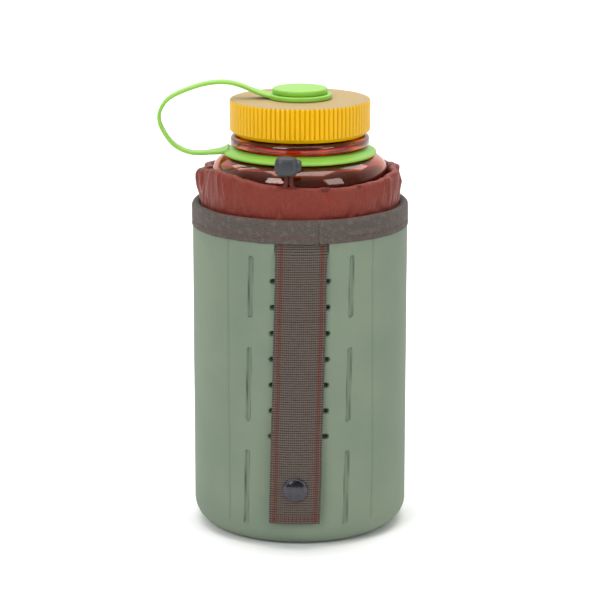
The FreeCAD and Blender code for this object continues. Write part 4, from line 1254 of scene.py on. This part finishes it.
class BOTTLE_OT_cap(bpy.types.Operator):
    """Ribbed screw cap"""

    bl_idname = "bottle.cap"
    bl_label = "Screw cap"

    def execute(self, context):
        settings = context.scene.sleeved_bottle
        sizes = settings.bottle
        low, high = boxes["cap"]
        crown = foot_of("tether_eye") - 0.15 * MM
        radius, foot, post = high.x, low.z, 7 * MM
        ceiling = crown - sizes.cap_top_wall
        edge, bevel = sizes.cap_round, sizes.cap_bevel
        points = [(0.0, high.z), (post, high.z), (post, crown)]
        points += straight((post, crown), (radius - edge, crown), 3 * MM)
        points += rounded((radius - edge, crown - edge), edge, 90, 0, 0.25 * MM)
        points += straight((radius, crown - edge), (radius, foot + bevel), 2 * MM)
        points += straight((radius, foot + bevel), (radius - bevel, foot + 0.2 * MM), 0.5 * MM)
        points += [(radius - bevel - 0.2 * MM, foot), (sizes.cap_bore + 0.2 * MM, foot)]
        points += straight((sizes.cap_bore, foot + 0.2 * MM), (sizes.cap_bore, ceiling), 4 * MM)
        points += [(0.0, ceiling)]
        bm = spun(points, [(TURN, sizes.rib_count * 8)])
        root = radius - sizes.rib_height
        for vert in bm.verts:
            reach = vert.co.xy.length
            if reach > root - 0.3 * MM:
                phase = front_angle(vert.co) / TURN * sizes.rib_count
                hump = smooth(abs(math.sin(math.pi * phase)) / 0.75)
                vert.co = placed(min(reach, root + sizes.rib_height * hump), front_angle(vert.co), vert.co.z)
        cap = made("ribbed_screw_cap", bm, cap_polypropylene(settings.colours, crown), 30)
        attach(cap, "screw_cap")
        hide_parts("cap")
        return {"FINISHED"}


class BOTTLE_OT_tether(bpy.types.Operator):
    """Moulded tether: neck ring, loop strap and cap eye in one, and the button that holds the eye"""

    bl_idname = "bottle.tether"
    bl_label = "Tether"

    loop_shape = (
        (0.318, 1.08), (0.40, 1.17), (0.48, 1.235), (0.563, 1.25), (0.66, 1.225), (0.76, 1.155),
        (0.91, 1.0), (0.965, 0.86), (1.0, 0.69), (0.998, 0.50), (0.95, 0.27), (0.90, 0.115),
        (0.842, 0.025), (0.775, -0.035), (0.69, -0.04), (0.62, -0.02),
    )

    def strap(self, sizes):
        """Loop from the eye round to the ring, widening at both ends."""
        low, high = boxes["tether_eye"]
        eye, ring_low, ring_high = (low.z + high.z) / 2, *(corner.z for corner in boxes["tether_ring"])
        ring = ring_low + 0.3 * (ring_high - ring_low)
        edge = radius_of("tether_ring")
        gap = eye - ring
        points = [Vector((-high.x + 3 * MM, 0, eye)), Vector((-high.x + 0.3 * MM, 0, eye + 0.2 * MM))]
        points += [Vector((-u * sizes.reach, 0, ring + v * gap)) for u, v in self.loop_shape]
        points += [Vector((-edge + 0.5 * MM, 0, ring + 0.1 * MM)), Vector((-edge + 3 * MM, 0, ring + 1.7 * MM))]
        line = through(points, 6)
        for _ in range(14):
            line = [line[0]] + [(a + 2 * b + c) / 4 for a, b, c in zip(line, line[1:], line[2:])] + [line[-1]]
        half = sizes.thickness / 2 - 0.15 * MM
        travelled = [0.0]
        for a, b in zip(line, line[1:]):
            travelled.append(travelled[-1] + (b - a).length)
        total = travelled[-1]

        def section(share):
            at = travelled[round(share * (len(line) - 1))]
            near_eye = 1 - smooth(at / (15 * MM))
            near_ring = 1 - smooth((total - at) / (13 * MM))
            wide = sizes.width / 2 + near_eye * 2.6 * MM + near_ring * (sizes.lug - sizes.width / 2)
            corner = 0.5 * MM
            flat = []
            for sx, sy, first in ((1, -1, -90), (1, 1, 0), (-1, 1, 90), (-1, -1, 180)):
                for step in range(3):
                    angle = math.radians(first + 45 * step)
                    flat.append((sx * (wide - corner) + corner * math.cos(angle),
                                 sy * (half - corner) + corner * math.sin(angle)))
            return flat

        return swept(line, Vector((0, 1, 0)), section)

    def ring(self, sizes):
        """Conical band round the neck, with rounded edges."""
        low, high = boxes["tether_ring"]
        inner = Vector((sizes.ring_inner + 0.8 * MM, high.z - 1.5 * MM))
        outer = Vector((high.x - 1.1 * MM, low.z + 1.1 * MM))
        along = (outer - inner).normalized()
        tilt = math.degrees(math.atan2(along.y, along.x))
        half = 0.95 * MM
        points = rounded(outer, half, tilt - 90, tilt + 90, 0.3 * MM)
        points += rounded(inner, half, tilt + 90, tilt + 270, 0.3 * MM)
        return spun(points, [(TURN, 150)], closed=True)

    def eye(self, sizes):
        """Flat ring round the cap's post."""
        low, high = boxes["tether_eye"]
        corner = 0.45 * MM
        points = []
        for radius, height, first in ((high.x - corner, low.z + corner, -90), (high.x - corner, high.z - corner, 0),
                                      (sizes.eye_hole + corner, high.z - corner, 90),
                                      (sizes.eye_hole + corner, low.z + corner, 180)):
            points += rounded((radius, height), corner, first, first + 90, 0.2 * MM)
        return spun(points, [(TURN, 96)], closed=True)

    def execute(self, context):
        settings = context.scene.sleeved_bottle
        sizes = settings.tether
        rubber = soft_polypropylene("tether_elastomer", settings.colours.green, 1.06)
        whole = joined([self.ring(sizes), self.strap(sizes), self.eye(sizes)])
        tether = made("moulded_tether", whole, rubber)
        merge = tether.modifiers.new("merge", "REMESH")
        merge.mode = "VOXEL"
        merge.voxel_size = sizes.voxel
        merge.use_smooth_shade = True
        relax = tether.modifiers.new("relax", "SMOOTH")
        relax.factor = 0.5
        relax.iterations = 6
        final = bpy.data.meshes.new_from_object(tether.evaluated_get(context.evaluated_depsgraph_get()))
        tether.modifiers.clear()
        tether.data = final
        final.name = "moulded_tether"
        final.shade_smooth()
        start = top_of("tether_ring") + 0.6 * MM
        end = foot_of("tether_eye") - 0.3 * MM
        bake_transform(tether, "neck_tether", "cap_tether", start=(0, 0, start), end=(0, 0, end))
        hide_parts("tether_ring", "tether_strap_lower", "tether_strap_upper", "tether_eye")
        self.button(settings, rubber)
        return {"FINISHED"}

    def button(self, settings, rubber):
        """Low domed disc over the eye."""
        low, high = boxes["retainer_button"]
        edge = 0.9 * MM
        points = [(0.0, low.z + 1.4 * MM), (7.1 * MM, low.z + 1.4 * MM), (7.1 * MM, low.z)]
        points += straight((7.1 * MM, low.z), (high.x - 0.3 * MM, low.z), 3 * MM)
        points += [(high.x, low.z + 0.3 * MM)]
        points += rounded((high.x - edge, high.z - edge - 0.25 * MM), edge, 0, 80, 0.2 * MM)
        start = points[-1]
        for step in range(1, 9):
            share = 1 - step / 8
            points.append((start[0] * share, high.z - (high.z - start[1]) * share ** 2))
        button = made("retainer_button_disc", spun(points, [(TURN, 120)]), rubber, 50)
        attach(button, "cap_retainer")
        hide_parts("retainer_button")


# ---------------------------------------------------------------- stage


class BOTTLE_OT_stage(bpy.types.Operator):
    """Pale floor, soft studio light and camera"""

    bl_idname = "bottle.stage"
    bl_label = "Stage"

    def softbox(self, name, place, aim, width, height, power):
        """Large rectangular light that faces a point."""
        light = bpy.data.lights.new(name, "AREA")
        light.shape = "RECTANGLE"
        light.size, light.size_y = width, height
        light.energy = power
        box = bpy.data.objects.new(name, light)
        box.location = place
        box.rotation_euler = (Vector(aim) - Vector(place)).to_track_quat("-Z", "Y").to_euler()
        bpy.context.scene.collection.objects.link(box)

    def execute(self, context):
        settings = context.scene.sleeved_bottle
        sizes = settings.stage
        bm = bmesh.new()
        bmesh.ops.create_grid(bm, x_segments=2, y_segments=2, size=sizes.floor / 2)
        floor = made("studio_floor", bm, studio_floor(settings.colours))
        world = bpy.data.worlds.new("studio")
        world.use_nodes = True
        tree = world.node_tree
        room = add(tree, "SeparateXYZ", {0: tree.nodes.new("ShaderNodeTexCoord").outputs["Generated"]})
        behind = spread(tree, room.outputs[1], -0.15, 0.5, 0.2, 0.95)
        above = spread(tree, room.outputs[2], 0.3, 1.0, 0.0, 0.75)
        tree.links.new(worked(tree, "MAXIMUM", behind, above), tree.nodes["Background"].inputs["Strength"])
        tree.nodes["Background"].inputs["Color"].default_value = (1.0, 1.0, 1.0, 1.0)
        context.scene.world = world
        aim = (0.0, 0.0, sizes.aim_height)
        self.softbox("key", (-1.1, -1.6, 1.3), aim, 0.9, 1.2, 22)
        self.softbox("fill", (1.4, -1.3, 0.9), aim, 0.8, 1.2, 12)
        self.softbox("top", (0.0, -0.1, 1.8), aim, 1.4, 1.0, 16)
        self.softbox("backdrop", (0.0, 1.5, 1.9), (0.0, 1.9, 0.0), 3.2, 1.4, 36)
        camera = bpy.data.objects.new("camera", bpy.data.cameras.new("camera"))
        camera.data.lens = sizes.lens
        camera.data.clip_start, camera.data.clip_end = 0.05, 20.0
        back = Vector((0, -math.cos(sizes.elevation), math.sin(sizes.elevation)))
        camera.location = Vector(aim) + back * sizes.distance
        camera.rotation_euler = (math.pi / 2 - sizes.elevation, 0, 0)
        context.scene.collection.objects.link(camera)
        bpy.context.scene.camera = camera
        context.scene.view_settings.view_transform = "Standard"
        return {"FINISHED"}


class BOTTLE_PT_panel(bpy.types.Panel):
    """Lists the steps that build the sleeved bottle"""

    bl_idname = "BOTTLE_PT_panel"
    bl_label = "Sleeved bottle"
    bl_space_type = "VIEW_3D"
    bl_region_type = "UI"
    bl_category = "Bottle"

    def draw(self, context):
        for operator in STEPS:
            self.layout.operator(operator.bl_idname)


GROUPS = (ShellSizes, ClothSizes, StrapSizes, BottleSizes, TetherSizes, StageSizes, Colours, SleevedBottle)
STEPS = (
    BOTTLE_OT_foam_shell, BOTTLE_OT_base_pad, BOTTLE_OT_lining, BOTTLE_OT_rim_binding, BOTTLE_OT_collar,
    BOTTLE_OT_drawcord, BOTTLE_OT_strap, BOTTLE_OT_snap, BOTTLE_OT_bottle, BOTTLE_OT_cap, BOTTLE_OT_tether,
    BOTTLE_OT_stage,
)


def register():
    """Registers the classes and the scene's settings."""
    for item in GROUPS + STEPS + (BOTTLE_PT_panel,):
        bpy.utils.register_class(item)
    bpy.types.Scene.sleeved_bottle = PointerProperty(type=SleevedBottle)


def unregister():
    """Removes what register added."""
    del bpy.types.Scene.sleeved_bottle
    for item in reversed(GROUPS + STEPS + (BOTTLE_PT_panel,)):
        bpy.utils.unregister_class(item)


def main():
    """Builds every piece in order."""
    register()
    for operator in STEPS:
        group, name = operator.bl_idname.split(".")
        getattr(getattr(bpy.ops, group), name)()


if __name__ == "__main__":
    main()
